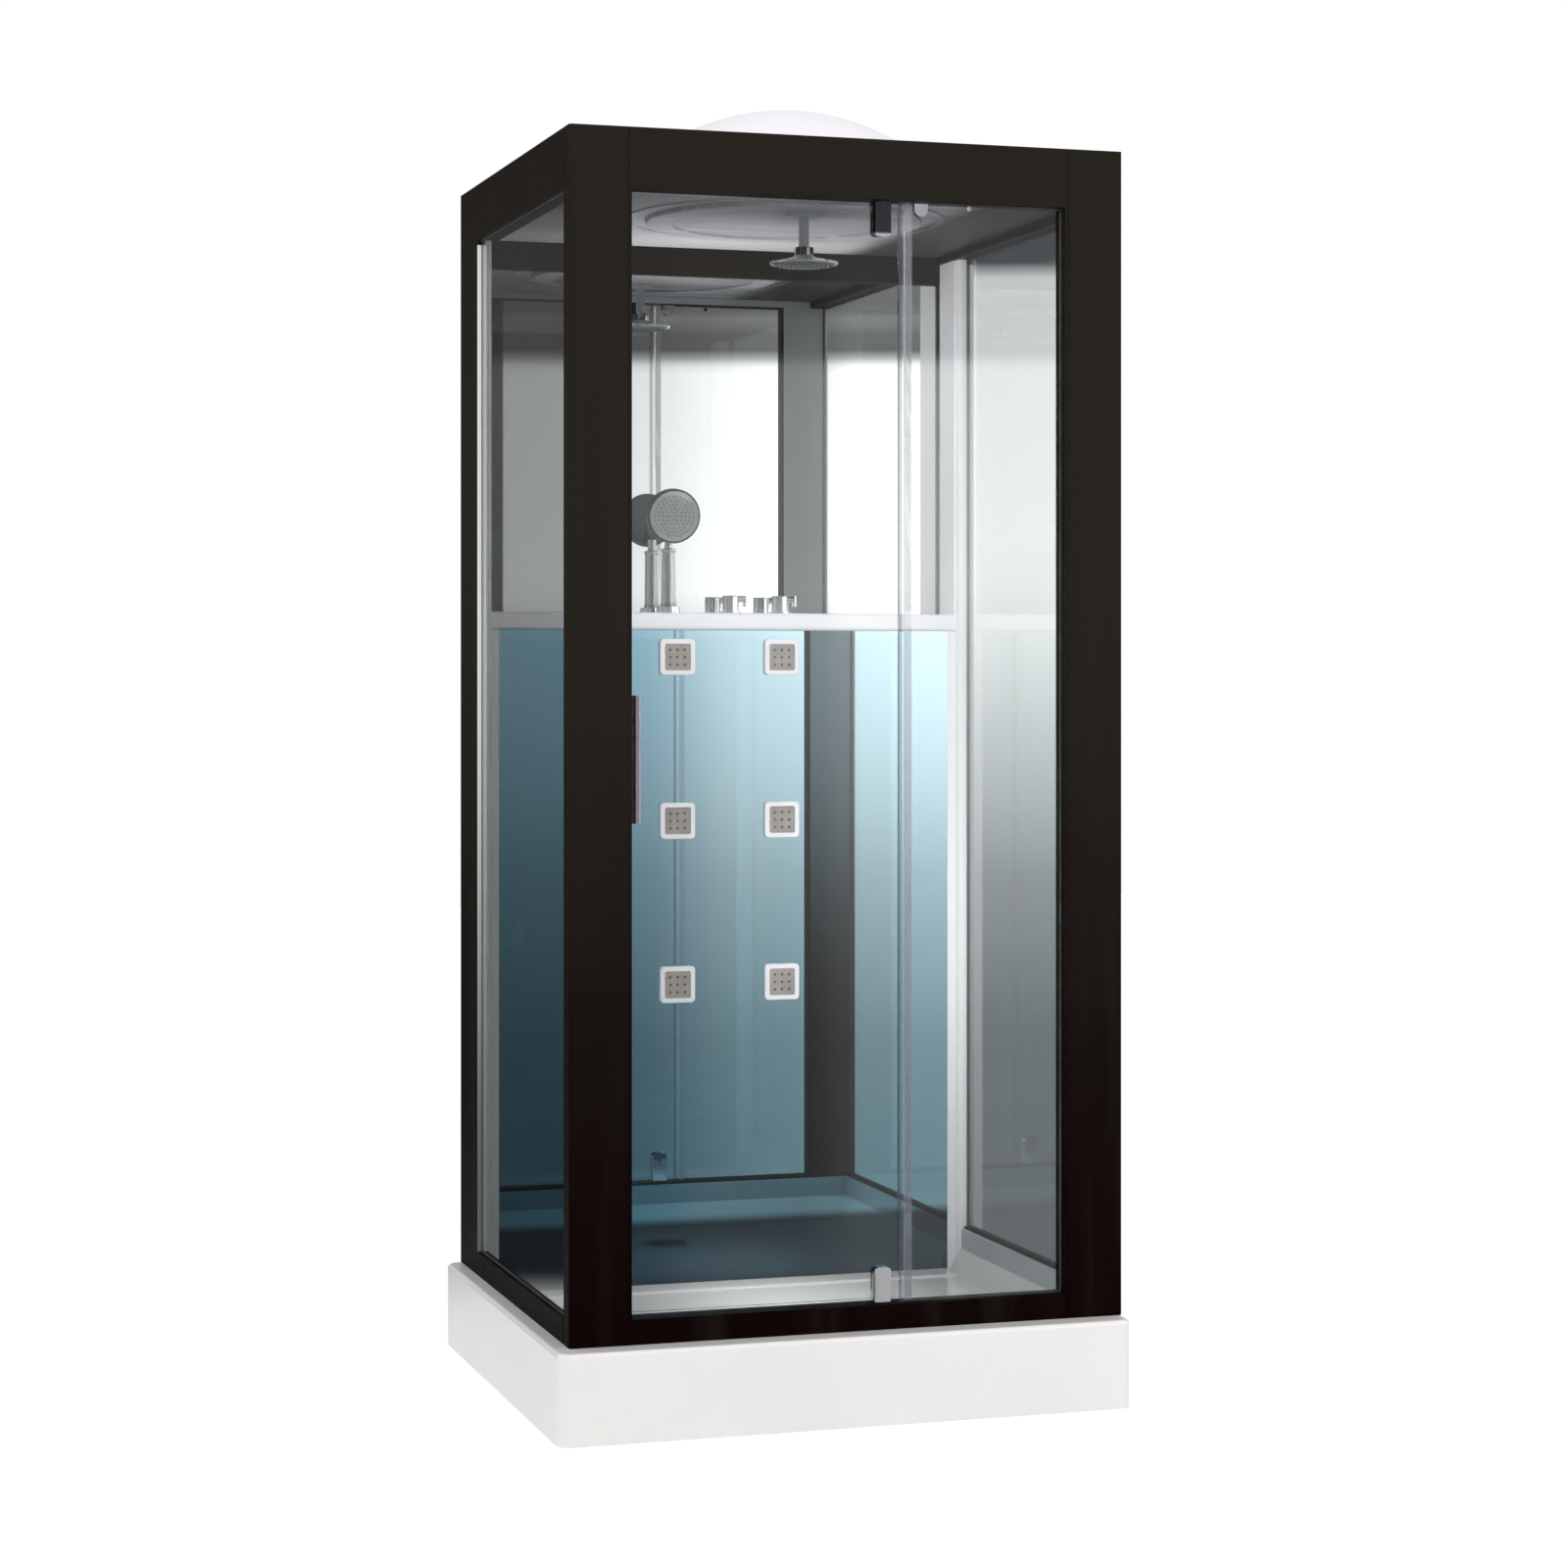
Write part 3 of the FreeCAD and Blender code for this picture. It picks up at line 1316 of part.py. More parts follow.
def hinge_bushes():
    """Flanged bushes in the rail and the beam."""
    bore = pin_radius + running_clearance
    solids = []
    for face, out in ((rail_top, 1), (beam_under, -1)):
        flange = (face, face + bush_flange_thickness) if out > 0 else (face - bush_flange_thickness, face)
        barrel = (face - bush_length, face) if out > 0 else (face, face + bush_length)
        body = fused([
            rod(pivot_x, front_glass_mid, *flange, bush_flange_radius),
            rod(pivot_x, front_glass_mid, *barrel, bush_radius),
        ])
        solids.append(body.cut(rod(pivot_x, front_glass_mid, min(flange[0], barrel[0]) - overrun,
                                   max(flange[1], barrel[1]) + overrun, bore)))
    return Part.makeCompound(solids)


def door_screws():
    """Hinge screws with flat heads, and the plain screws that join the two grips."""
    solids = []
    face = front_glass_in + hinge_plate_thickness
    for x, z in hinge_screw_places():
        shank = rod_y(x, z, front_glass_out - hinge_plate_thickness / 2, face - hinge_screw_head_length,
                      hinge_screw_radius)
        head = rod_y(x, z, face - hinge_screw_head_length, face, hinge_screw_head_radius)
        solids.append(fused([shank, head]))
    for x, z in grip_screw_places():
        solids.append(rod_y(x, z, front_glass_out - grip_outer_depth / 2,
                            front_glass_in + grip_inner_depth / 2, grip_screw_radius))
    return Part.makeCompound(solids)


def grip(inner):
    """Door grip bar on one side of the glass, rounded towards the hand."""
    x0 = door_left + grip_inset
    x1 = x0 + grip_width
    low, high = grip_middle - grip_length / 2, grip_middle + grip_length / 2
    r = grip_edge_radius
    if inner:
        body = bar("z", x0, x1, front_glass_in, front_glass_in + grip_inner_depth, low, high, (0, 0, r, r))
    else:
        body = bar("z", x0, x1, front_glass_out - grip_outer_depth, front_glass_out, low, high, (r, r, 0, 0))
    for x, z in grip_screw_places():
        body = body.cut(rod_y(x, z, front_glass_out - grip_outer_depth / 2,
                              front_glass_in + grip_inner_depth / 2, grip_screw_radius))
    return body


def latch_seal():
    """Bulb strip on the door's closing edge."""
    half = latch_depth / 2
    r = latch_nose_radius
    return bar("z", door_left - latch_thickness, door_left, front_glass_mid - half, front_glass_mid + half,
               door_foot, door_top, (r, 0, 0, r))


def drip_seal():
    """Drip strip under the door glass, clear of the hinge block."""
    half = drip_depth / 2
    end = pivot_x - hinge_width / 2 - drip_end_gap
    return bar("x", front_glass_mid - half, front_glass_mid + half, door_foot - drip_height, door_foot,
               door_left, end, (half / 2, half / 2, 0, 0))


def build():
    """All the nodes by name."""
    nodes = {
        "tray": tray(),
        "tray_support_frame": support_frame(),
        "levelling_feet": levelling_feet(),
        "waste_trap": waste_trap(),
        "waste_cover": waste_cover(),
        "front_beam": front_beam(),
        "front_rail": front_rail(),
        "glazing_beads": glazing_beads(),
        "rear_header": rear_header(),
        "fixed_pane": fixed_pane(),
        "glazing_gaskets": Part.makeCompound([side_gasket("left"), side_gasket("right"), front_gasket()]),
        "pane_edge_seal": edge_seal(),
        "pane_fixings": pane_fixings(),
        "blue_panel": blue_panel(),
        "jet_bezels": jet_bezels(),
        "jet_faces": jet_faces(),
        "jet_bodies": jet_bodies(),
        "manifold": manifold(),
        "valve_block": valve_block(),
        "supply_pipes": supply_pipes(),
        "overhead_feed": overhead_feed(),
        "shelf": shelf(),
        "niche_mirror": niche_mirror(),
        "rear_cladding": rear_cladding(),
        "escutcheons": escutcheons(),
        "mixer_lever": lever_knob(mixer_offset),
        "diverter_lever": lever_knob(diverter_offset),
        "hand_shower_socket": shower_socket(),
        "hand_shower_collar": swivel_collar(),
        "hand_shower_handle": hand_shower_handle(),
        "hand_shower_head": hand_shower_head(),
        "hand_shower_spray": spray_face(),
        "roof_panel": roof_panel(),
        "roof_dome": roof_dome(),
        "ceiling_ring": ceiling_ring(),
        "light_diffuser": diffuser(),
        "overhead_stub": overhead_stub(),
        "overhead_shower": overhead_shower(),
        "overhead_spray": overhead_spray(),
        "door_pane": door_pane(),
        "hinge_blocks": hinge_blocks(),
        "hinge_plates": hinge_plates(),
        "hinge_pins": hinge_pins(),
        "hinge_bushes": hinge_bushes(),
        "door_screws": door_screws(),
        "door_grip_outer": grip(False),
        "door_grip_inner": grip(True),
        "door_latch_seal": latch_seal(),
        "door_drip_seal": drip_seal(),
    }
    for side in ("left", "right"):
        nodes[f"front_post_{side}"] = front_post(side)
        nodes[f"side_pane_{side}"] = side_pane(side)
    nodes["side_beams"] = Part.makeCompound([side_beam("left"), side_beam("right")])
    nodes["side_rails"] = Part.makeCompound([side_rail("left"), side_rail("right")])
    nodes["rear_side_panels"] = Part.makeCompound([rear_side_panel("left"), rear_side_panel("right")])
    nodes["corner_profiles"] = Part.makeCompound([corner_profile("left"), corner_profile("right")])
    nodes["console_trims"] = Part.makeCompound([console_trim("left"), console_trim("right")])
    nodes["niche_cheeks"] = Part.makeCompound([niche_cheek("left"), niche_cheek("right")])
    return nodes


os.makedirs("parts", exist_ok=True)
for name, shape in build().items():
    shape.exportStep(f"parts/{name}.step")
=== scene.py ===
"""Looks for the framed shower cabin: finishes, fine fittings, studio and camera.

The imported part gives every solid. This script dresses each solid in its finish, adds the small
repeated pieces that the part leaves out (spray nozzles, thread crests, sheet screws), and sets a
plain pale studio with the camera at the photograph's place.
"""

import json
import logging
import math
from dataclasses import dataclass
from enum import Enum
from functools import cache
from typing import ClassVar, Sequence

import bpy
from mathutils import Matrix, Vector

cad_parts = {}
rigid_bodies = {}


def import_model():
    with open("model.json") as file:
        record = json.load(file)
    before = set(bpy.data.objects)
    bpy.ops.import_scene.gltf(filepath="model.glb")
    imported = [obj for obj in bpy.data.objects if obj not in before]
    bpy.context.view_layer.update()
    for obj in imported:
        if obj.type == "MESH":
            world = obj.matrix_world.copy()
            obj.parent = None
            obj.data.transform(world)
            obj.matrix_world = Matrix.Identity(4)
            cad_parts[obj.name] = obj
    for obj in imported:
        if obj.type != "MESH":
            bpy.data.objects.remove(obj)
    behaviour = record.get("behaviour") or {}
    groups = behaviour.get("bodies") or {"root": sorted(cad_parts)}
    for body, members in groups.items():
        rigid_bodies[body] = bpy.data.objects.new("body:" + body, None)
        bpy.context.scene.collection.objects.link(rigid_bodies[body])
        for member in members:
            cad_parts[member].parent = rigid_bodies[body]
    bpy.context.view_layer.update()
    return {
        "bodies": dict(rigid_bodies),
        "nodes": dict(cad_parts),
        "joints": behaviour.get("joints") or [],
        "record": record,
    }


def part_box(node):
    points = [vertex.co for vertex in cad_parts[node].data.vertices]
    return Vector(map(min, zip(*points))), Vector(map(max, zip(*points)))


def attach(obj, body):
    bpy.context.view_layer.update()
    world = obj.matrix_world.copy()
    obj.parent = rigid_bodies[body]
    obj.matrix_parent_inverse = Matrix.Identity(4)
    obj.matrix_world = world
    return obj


LOG = logging.getLogger("shower_cabin")

Colour = tuple[float, float, float]
Point = tuple[float, float, float]
Span = tuple[float, float]
Socket = bpy.types.NodeSocket
Tree = bpy.types.NodeTree

WHITE: Colour = (1.0, 1.0, 1.0)
# A face counts as turned along an axis where its normal's share of that axis rises through this range.
TURNED: Span = (0.5, 0.9)


def rgb(red: float, green: float, blue: float) -> Colour:
    """Turn a display colour of 0 to 255 into the linear values that shaders use.

    Args:
        red: red value on the display.
        green: green value on the display.
        blue: blue value on the display.

    Returns:
        The linear colour.
    """
    def linear(value: float) -> float:
        """Linear value of one channel."""
        share = value / 255.0
        return share / 12.92 if share <= 0.04045 else ((share + 0.055) / 1.055) ** 2.4
    return linear(red), linear(green), linear(blue)


def opaque(colour: Colour | float) -> tuple[float, float, float, float]:
    """Add full alpha to a colour, or to a grey given as one number."""
    return (*colour, 1.0) if isinstance(colour, tuple) else (colour, colour, colour, 1.0)


class Lens(Enum):
    """Settings of the photograph's camera."""

    LENGTH_MM = 76.24
    SENSOR_MM = 36.0
    SHIFT_UP = -0.067
    TURN_DEG = -17.4557
    REACH_M = 100.0


class Way(Enum):
    """Direction in which a brushed or moulded surface shows its lines, as a stretch of the pattern."""

    ALONG_X = (0.06, 1.0, 1.0)
    UPRIGHT = (1.0, 1.0, 0.06)
    ROUND = (1.0, 1.0, 6.0)
    EVEN = (1.0, 1.0, 1.0)


class Facing(Enum):
    """Turn that brings a piece made facing up to face another way, in radians."""

    UP = (0.0, 0.0, 0.0)
    DOWN = (math.pi, 0.0, 0.0)
    REAR = (-math.pi / 2, 0.0, 0.0)


class Kind(Enum):
    """Socket types of node groups."""

    NUMBER = "NodeSocketFloat"
    COUNT = "NodeSocketInt"
    VECTOR = "NodeSocketVector"
    FINISH = "NodeSocketMaterial"
    SHAPE = "NodeSocketGeometry"


class Graph:
    """Adds and joins nodes in one node tree."""

    def __init__(self, tree: Tree) -> None:
        """Keep the tree that the nodes go into."""
        self.tree = tree

    def plug(self, value: object, socket: Socket) -> None:
        """Join a socket to an input, or set the input to a value.

        Args:
            value: output socket or plain value.
            socket: input that it feeds.
        """
        if isinstance(value, Socket):
            self.tree.links.new(value, socket)
        else:
            socket.default_value = value

    def node(self, kind: str, inputs: dict | None = None, **settings: object) -> bpy.types.Node:
        """Add a node and set or join its inputs.

        Args:
            kind: Blender's name of the node type.
            inputs: input name or number, with a value or the output socket that feeds it.
            settings: attributes of the node.

        Returns:
            The new node.
        """
        made = self.tree.nodes.new(kind)
        for name, value in settings.items():
            setattr(made, name, value)
        for key, value in (inputs or {}).items():
            self.plug(value, made.inputs[key])
        return made

    def find(self, kind: str) -> bpy.types.Node:
        """First node of a type that the tree has from the start."""
        return next(node for node in self.tree.nodes if node.type == kind)

    def math(self, operation: str, *values: object, clamp: bool = False) -> Socket:
        """Result of a Math node, from its operation and values in order, kept to 0 to 1 with clamp."""
        inputs = dict(enumerate(values))
        return self.node("ShaderNodeMath", inputs, operation=operation, use_clamp=clamp).outputs[0]

    def times(self, first: object, second: object) -> Socket:
        """Product of two numbers or sockets."""
        return self.math("MULTIPLY", first, second)

    def less(self, first: object, second: object) -> Socket:
        """First number or socket less the second."""
        return self.math("SUBTRACT", first, second)

    def vector(self, operation: str, inputs: dict) -> Socket:
        """Result of a Vector Math node, from its operation and its inputs by number."""
        return self.node("ShaderNodeVectorMath", inputs, operation=operation).outputs[0]

    def blend(self, factor: object, first: object, second: object) -> Socket:
        """Mix two colours.

        Args:
            factor: share of the second colour.
            first: colour or socket at 0.
            second: colour or socket at 1.

        Returns:
            The mixed colour's socket.
        """
        made = self.node("ShaderNodeMix", data_type="RGBA")
        for number, value in ((0, factor), (6, first), (7, second)):
            self.plug(opaque(value) if isinstance(value, tuple) else value, made.inputs[number])
        return made.outputs[2]

    def span(self, value: object, low: object, high: object, first: float = 0.0,
             last: float = 1.0) -> Socket:
        """Map a value smoothly from the range low to high to the range first to last."""
        inputs = {0: value, 1: low, 2: high, 3: first, 4: last}
        return self.node("ShaderNodeMapRange", inputs, interpolation_type="SMOOTHSTEP").outputs[0]

    def ramp(self, value: object, stops: Sequence[tuple[float, Colour | float]]) -> Socket:
        """Colour ramp over a value of 0 to 1.

        Args:
            value: socket that is looked up.
            stops: places with colours or greys, from low to high.

        Returns:
            The colour socket.
        """
        made = self.node("ShaderNodeValToRGB", {0: value})
        marks = made.color_ramp.elements
        for mark, (place, colour) in zip(marks, (stops[0], stops[-1])):
            mark.position, mark.color = place, opaque(colour)
        for place, colour in stops[1:-1]:
            marks.new(place).color = opaque(colour)
        return made.outputs[0]

    def coordinate(self, source: str = "Object") -> Socket:
        """A texture coordinate, such as the object's own or the normal."""
        return self.node("ShaderNodeTexCoord").outputs[source]

    def axis(self, source: str, letter: str) -> Socket:
        """One axis of a texture coordinate."""
        return self.node("ShaderNodeSeparateXYZ", {0: self.coordinate(source)}).outputs[letter]

    def noise(self, place: Socket, scale: object, detail: float, roughness: float = 0.5) -> Socket:
        """Noise over a place, with its scale, detail and roughness."""
        return self.node("ShaderNodeTexNoise", {"Vector": place, "Scale": scale, "Detail": detail,
                                                "Roughness": roughness}).outputs[0]


def open_group(family: str, name: str, ins: dict[str, object], outs: dict[str, Kind]) -> tuple:
    """Start a node group with its sockets.

    Args:
        family: Blender's name of the tree type.
        name: group name.
        ins: input name with its start value, or with its kind where it needs none.
        outs: output name with its kind.

    Returns:
        The graph, the sockets that the group's inputs give, and the sockets of its outputs.
    """
    tree = bpy.data.node_groups.new(name, family)
    for label, value in ins.items():
        kind = value if isinstance(value, Kind) else Kind.VECTOR if isinstance(value, tuple) else Kind.NUMBER
        socket = tree.interface.new_socket(label, in_out="INPUT", socket_type=kind.value)
        if value is not kind:
            socket.default_value = value
    for label, kind in outs.items():
        tree.interface.new_socket(label, in_out="OUTPUT", socket_type=kind.value)
    graph = Graph(tree)
    return graph, graph.node("NodeGroupInput").outputs, graph.node("NodeGroupOutput").inputs


class Effects:
    """Shader node groups that several finishes share, each made once."""

    UNEVEN_SCALE = 3.0
    DROP_RADIUS = 0.3
    RIM_SHARPNESS = 14.0
    PATCH_SCALE = 5.0
    PATCH_RANGE: Span = (0.52, 0.7)
    DUST_SCALE = 9.0
    DUST_RANGE: Span = (0.4, 0.75)
    UPWARD_RANGE: Span = (0.6, 1.0)

    @staticmethod
    @cache
    def height_fade() -> Tree:
        """Share from 0 at one height of the piece to 1 at another, slightly uneven.

        Returns:
            The group.
        """
        graph, start, end = open_group("ShaderNodeTree", "height_fade",
                                       {"Low": 0.0, "High": 1.0, "Unevenness": 0.02}, {"Share": Kind.NUMBER})
        cloud = graph.noise(graph.coordinate(), Effects.UNEVEN_SCALE, detail=3.0)
        shift = graph.times(graph.less(cloud, 0.5), start["Unevenness"])
        height = graph.math("ADD", graph.axis("Object", "Z"), shift)
        graph.plug(graph.span(height, start["Low"], start["High"]), end["Share"])
        return graph.tree

    @staticmethod
    @cache
    def fine_grain() -> Tree:
        """Fine irregular grain of a coated or moulded surface, stretched along a chosen way.

        Returns:
            The group.
        """
        graph, start, end = open_group(
            "ShaderNodeTree", "fine_grain", {"Scale": 400.0, "Stretch": Way.EVEN.value, "Cloud Scale": 6.0},
            {"Grain": Kind.NUMBER, "Cloud": Kind.NUMBER})
        drawn = graph.node("ShaderNodeMapping", {"Vector": graph.coordinate(), "Scale": start["Stretch"]})
        graph.plug(graph.noise(drawn.outputs[0], start["Scale"], detail=4.0, roughness=0.6), end["Grain"])
        cloud = graph.noise(drawn.outputs[0], start["Cloud Scale"], detail=5.0, roughness=0.55)
        graph.plug(cloud, end["Cloud"])
        return graph.tree

    @staticmethod
    @cache
    def water_marks() -> Tree:
        """Faint rims of dried drops, gathered in patches.

        Returns:
            The group.
        """
        graph, start, end = open_group("ShaderNodeTree", "water_marks", {"Scale": 90.0, "Amount": 0.5},
                                       {"Mask": Kind.NUMBER})
        place = graph.coordinate()
        drops = graph.node("ShaderNodeTexVoronoi", {"Vector": place, "Scale": start["Scale"]}).outputs[0]
        away = graph.times(graph.less(drops, Effects.DROP_RADIUS), Effects.RIM_SHARPNESS)
        rim = graph.math("SUBTRACT", 1.0, graph.math("ABSOLUTE", away), clamp=True)
        patch = graph.noise(place, Effects.PATCH_SCALE, detail=2.0)
        gathered = graph.span(patch, *Effects.PATCH_RANGE)
        graph.plug(graph.times(graph.times(rim, gathered), start["Amount"]), end["Mask"])
        return graph.tree

    @staticmethod
    @cache
    def settled_dust() -> Tree:
        """Thin dust on what faces up.

        Returns:
            The group.
        """
        graph, start, end = open_group("ShaderNodeTree", "settled_dust", {"Amount": 0.3},
                                       {"Mask": Kind.NUMBER})
        upward = graph.span(graph.axis("Normal", "Z"), *Effects.UPWARD_RANGE)
        cloud = graph.noise(graph.coordinate(), Effects.DUST_SCALE, detail=6.0)
        thick = graph.times(upward, graph.span(cloud, *Effects.DUST_RANGE))
        graph.plug(graph.times(thick, start["Amount"]), end["Mask"])
        return graph.tree


class Look(Graph):
    """A material with one Principled shader, and the means to feed it."""

    GRAIN_RANGE: ClassVar[Span] = (0.3, 0.7)
    SMOOTHEST: ClassVar[float] = 0.02

    def __init__(self, name: str, colour: Colour, roughness: float) -> None:
        """Start the material.

        Args:
            name: material name.
            colour: main colour.
            roughness: middle roughness.
        """
        self.material = bpy.data.materials.new(name)
        self.material.use_nodes = True
        self.material.diffuse_color = opaque(colour)
        super().__init__(self.material.node_tree)
        self.shader = self.find("BSDF_PRINCIPLED")
        self.middle = roughness
        self.set(Base_Color=opaque(colour), Roughness=roughness)

    def set(self, **values: object) -> None:
        """Set or feed the shader's inputs, with underscores for the spaces in their names."""
        for name, value in values.items():
            self.plug(value, self.shader.inputs[name.replace("_", " ")])

    def effect(self, tree: Tree, **values: object) -> Sequence[Socket]:
        """Place a shared effect.

        Args:
            tree: the effect's group.
            values: input values, with underscores for spaces in the names.

        Returns:
            The effect's outputs.
        """
        made = self.node("ShaderNodeGroup", node_tree=tree)
        for name, value in values.items():
            made.inputs[name.replace("_", " ").title()].default_value = value
        return made.outputs

    def fade(self, low: float, high: float, unevenness: float = 0.02) -> Socket:
        """Share from 0 at one height to 1 at another."""
        return self.effect(Effects.height_fade(), low=low, high=high, unevenness=unevenness)[0]

    def grained(self, scale: float, cloud_scale: float, way: Way = Way.EVEN) -> tuple[Socket, Socket]:
        """Fine grain and soft clouds, drawn out along a way."""
        made = self.effect(Effects.fine_grain(), scale=scale, stretch=way.value, cloud_scale=cloud_scale)
        return made["Grain"], made["Cloud"]

    def marks(self, amount: float, share: float, scale: float = 90.0) -> Socket:
        """Share that dried drops of an amount and a scale add."""
        return self.times(self.effect(Effects.water_marks(), amount=amount, scale=scale)[0], share)

    def patches(self, cloud: Socket, low: float, high: float, share: float) -> Socket:
        """Share of the soft clouds between two of their tones."""
        return self.times(self.span(cloud, low, high), share)

    def dust(self, amount: float) -> Socket:
        """Dust on what faces up."""
        return self.effect(Effects.settled_dust(), amount=amount)[0]

    def roughen(self, grain: Socket, below: float, above: float, marks: Socket | None = None) -> None:
        """Vary the roughness with the grain and with dried drops.

        Args:
            grain: the grain's socket.
            below: how far the roughness falls under its middle.
            above: how far it rises over it.
            marks: what dried drops add.
        """
        smooth = max(self.SMOOTHEST, self.middle - below)
        rough = self.span(grain, *self.GRAIN_RANGE, smooth, self.middle + above)
        self.set(Roughness=rough if marks is None else self.math("ADD", rough, marks))

    def relief(self, height: Socket, strength: float, depth: float) -> None:
        """Feed a height of 0 to 1 to the normal, with its strength and its real depth in metres."""
        bump = self.node("ShaderNodeBump", {"Strength": strength, "Distance": depth, "Height": height})
        self.set(Normal=bump.outputs[0])


@dataclass(frozen=True)
class Finish:
    """Common start of every finish.

    Args:
        name: material name.
        colour: main colour.
        roughness: middle roughness.
    """

    name: str
    colour: Colour
    roughness: float

    def build(self) -> bpy.types.Material:
        """Make the material.

        Returns:
            The material.
        """
        look = Look(self.name, self.colour, self.roughness)
        self.apply(look)
        return look.material

    def apply(self, look: Look) -> None:
        """Feed the material's shader.

        Args:
            look: the material.
        """


@dataclass(frozen=True)
class Paint(Finish):
    """Powder coat on aluminium with a fine grain, deeper towards the floor by painted shade and paler towards
    the cabin by painted light.

    Args:
        painted_foot_shade: colour near the tray, painted shade.
        foot: height of the deepest painted shade.
        head: height from which the main colour is full.
        painted_inner_light: painted light, the paler tone of the front frame's faces towards the cabin, at
            its full height.
        inner_place: Y in metres of those faces.
        inner_blur: distances behind it between which the paler tone fades in.
        dust_colour: colour of the settled dust.
    """

    painted_foot_shade: Colour = (0.0045, 0.0012, 0.0009)
    foot: float = 0.15
    head: float = 1.45
    painted_inner_light: Colour = (0.62, 0.63, 0.635)
    inner_place: float = -0.359
    inner_blur: Span = (0.006, 0.002)
    dust_colour: Colour = (0.3, 0.29, 0.28)

    def apply(self, look: Look) -> None:
        """Feed the material's shader.

        Args:
            look: the material.
        """
        grain, cloud = look.grained(scale=900.0, cloud_scale=14.0, way=Way.UPRIGHT)
        # Painted shade: the coat deepens towards the floor.
        deep = look.blend(look.fade(self.foot, self.head, unevenness=0.5), self.painted_foot_shade, self.colour)
        lighter = tuple(min(1.0, value * 1.25) for value in self.colour)
        drawn = look.blend(look.patches(cloud, low=0.45, high=0.75, share=0.4), deep, lighter)
        dusty = look.blend(look.dust(amount=0.06), drawn, self.dust_colour)
        look.set(Base_Color=self.lined(look, dusty), Specular_IOR_Level=0.02)
        look.roughen(grain, below=0.06, above=0.08)
        look.relief(grain, strength=0.25, depth=0.00025)

    def lined(self, look: Look, colour: Socket) -> Socket:
        """Give the front frame's faces towards the cabin their painted light, a paler tone that grows with
        height.

        Args:
            look: the material.
            colour: colour of every other face.

        Returns:
            The colour socket.
        """
        near = look.span(look.axis("Object", "Y"), *(self.inner_place + reach for reach in self.inner_blur))
        # Painted light: the faces towards the cabin turn paler, fully so high up.
        inner = look.blend(look.fade(low=0.55, high=1.4), self.colour, self.painted_inner_light)
        return look.blend(look.times(look.span(look.axis("Normal", "Y"), *TURNED), near), colour, inner)


@dataclass(frozen=True)
class EdgedPaint(Paint):
    """Powder coat with a pale glazing tape on the front edge, where the side pane meets the panel; painted
    shade darkens the tape towards the tray.

    Args:
        tape_colour: colour of the tape at its full height.
        painted_tape_foot_shade: colour of the tape near the tray, painted shade.
        tape_end: Y in metres to which the tape reaches.
        tape_top: Z in metres to which the tape reaches.
        blur: length in metres over which the tape's ends fade.
    """

    tape_colour: Colour = (0.86, 0.87, 0.88)
    painted_tape_foot_shade: Colour = (0.16, 0.17, 0.175)
    tape_end: float = 0.345
    tape_top: float = 2.03
    blur: float = 0.001

    def lined(self, look: Look, colour: Socket) -> Socket:
        """Lay the tape on every face near the front edge but the outer one.

        Args:
            look: the material.
            colour: colour of every other face.

        Returns:
            The colour socket.
        """
        near = look.times(look.span(look.axis("Object", "Y"), self.tape_end + self.blur, self.tape_end),
                          look.span(look.axis("Object", "Z"), self.tape_top + self.blur, self.tape_top))
        side = look.math("SIGN", look.axis("Object", "X"), 0.0)
        covered = look.span(look.times(look.axis("Normal", "X"), side), *reversed(TURNED))
        # Painted shade: the tape darkens towards the tray.
        tape = look.blend(look.fade(low=0.3, high=1.4), self.painted_tape_foot_shade, self.tape_colour)
        return look.blend(look.times(near, covered), colour, tape)


@dataclass(frozen=True)
class Moulding(Finish):
    """Moulded or cast plastic and acrylic: soft tone changes, an even skin and a thin gloss coat.

    Args:
        shade: darker tone of the soft clouds.
        gloss: weight of the clear top skin.
        shine: strength of the skin's own reflection.
        texture: depth of the skin's relief in metres.
        grain_scale: size of that relief, higher is finer.
        spots: amount of dried drops.
        dust_colour: colour of the settled dust.
    """

    shade: Colour
    gloss: float
    shine: float = 0.5
    texture: float = 0.0001
    grain_scale: float = 320.0
    spots: float = 0.0
    dust_colour: Colour = (0.62, 0.61, 0.6)

    def apply(self, look: Look) -> None:
        """Feed the material's shader.

        Args:
            look: the material.
        """
        grain, cloud = look.grained(self.grain_scale, cloud_scale=2.5)
        body = look.blend(look.span(cloud, low=0.35, high=0.7), self.shade, self.colour)
        look.set(Base_Color=look.blend(look.dust(amount=0.08), body, self.dust_colour),
                 Specular_IOR_Level=self.shine, Coat_Weight=self.gloss, Coat_Roughness=0.08)
        look.roughen(grain, below=0.04, above=0.05, marks=look.marks(self.spots, share=0.3))
        look.relief(grain, strength=0.2, depth=self.texture)


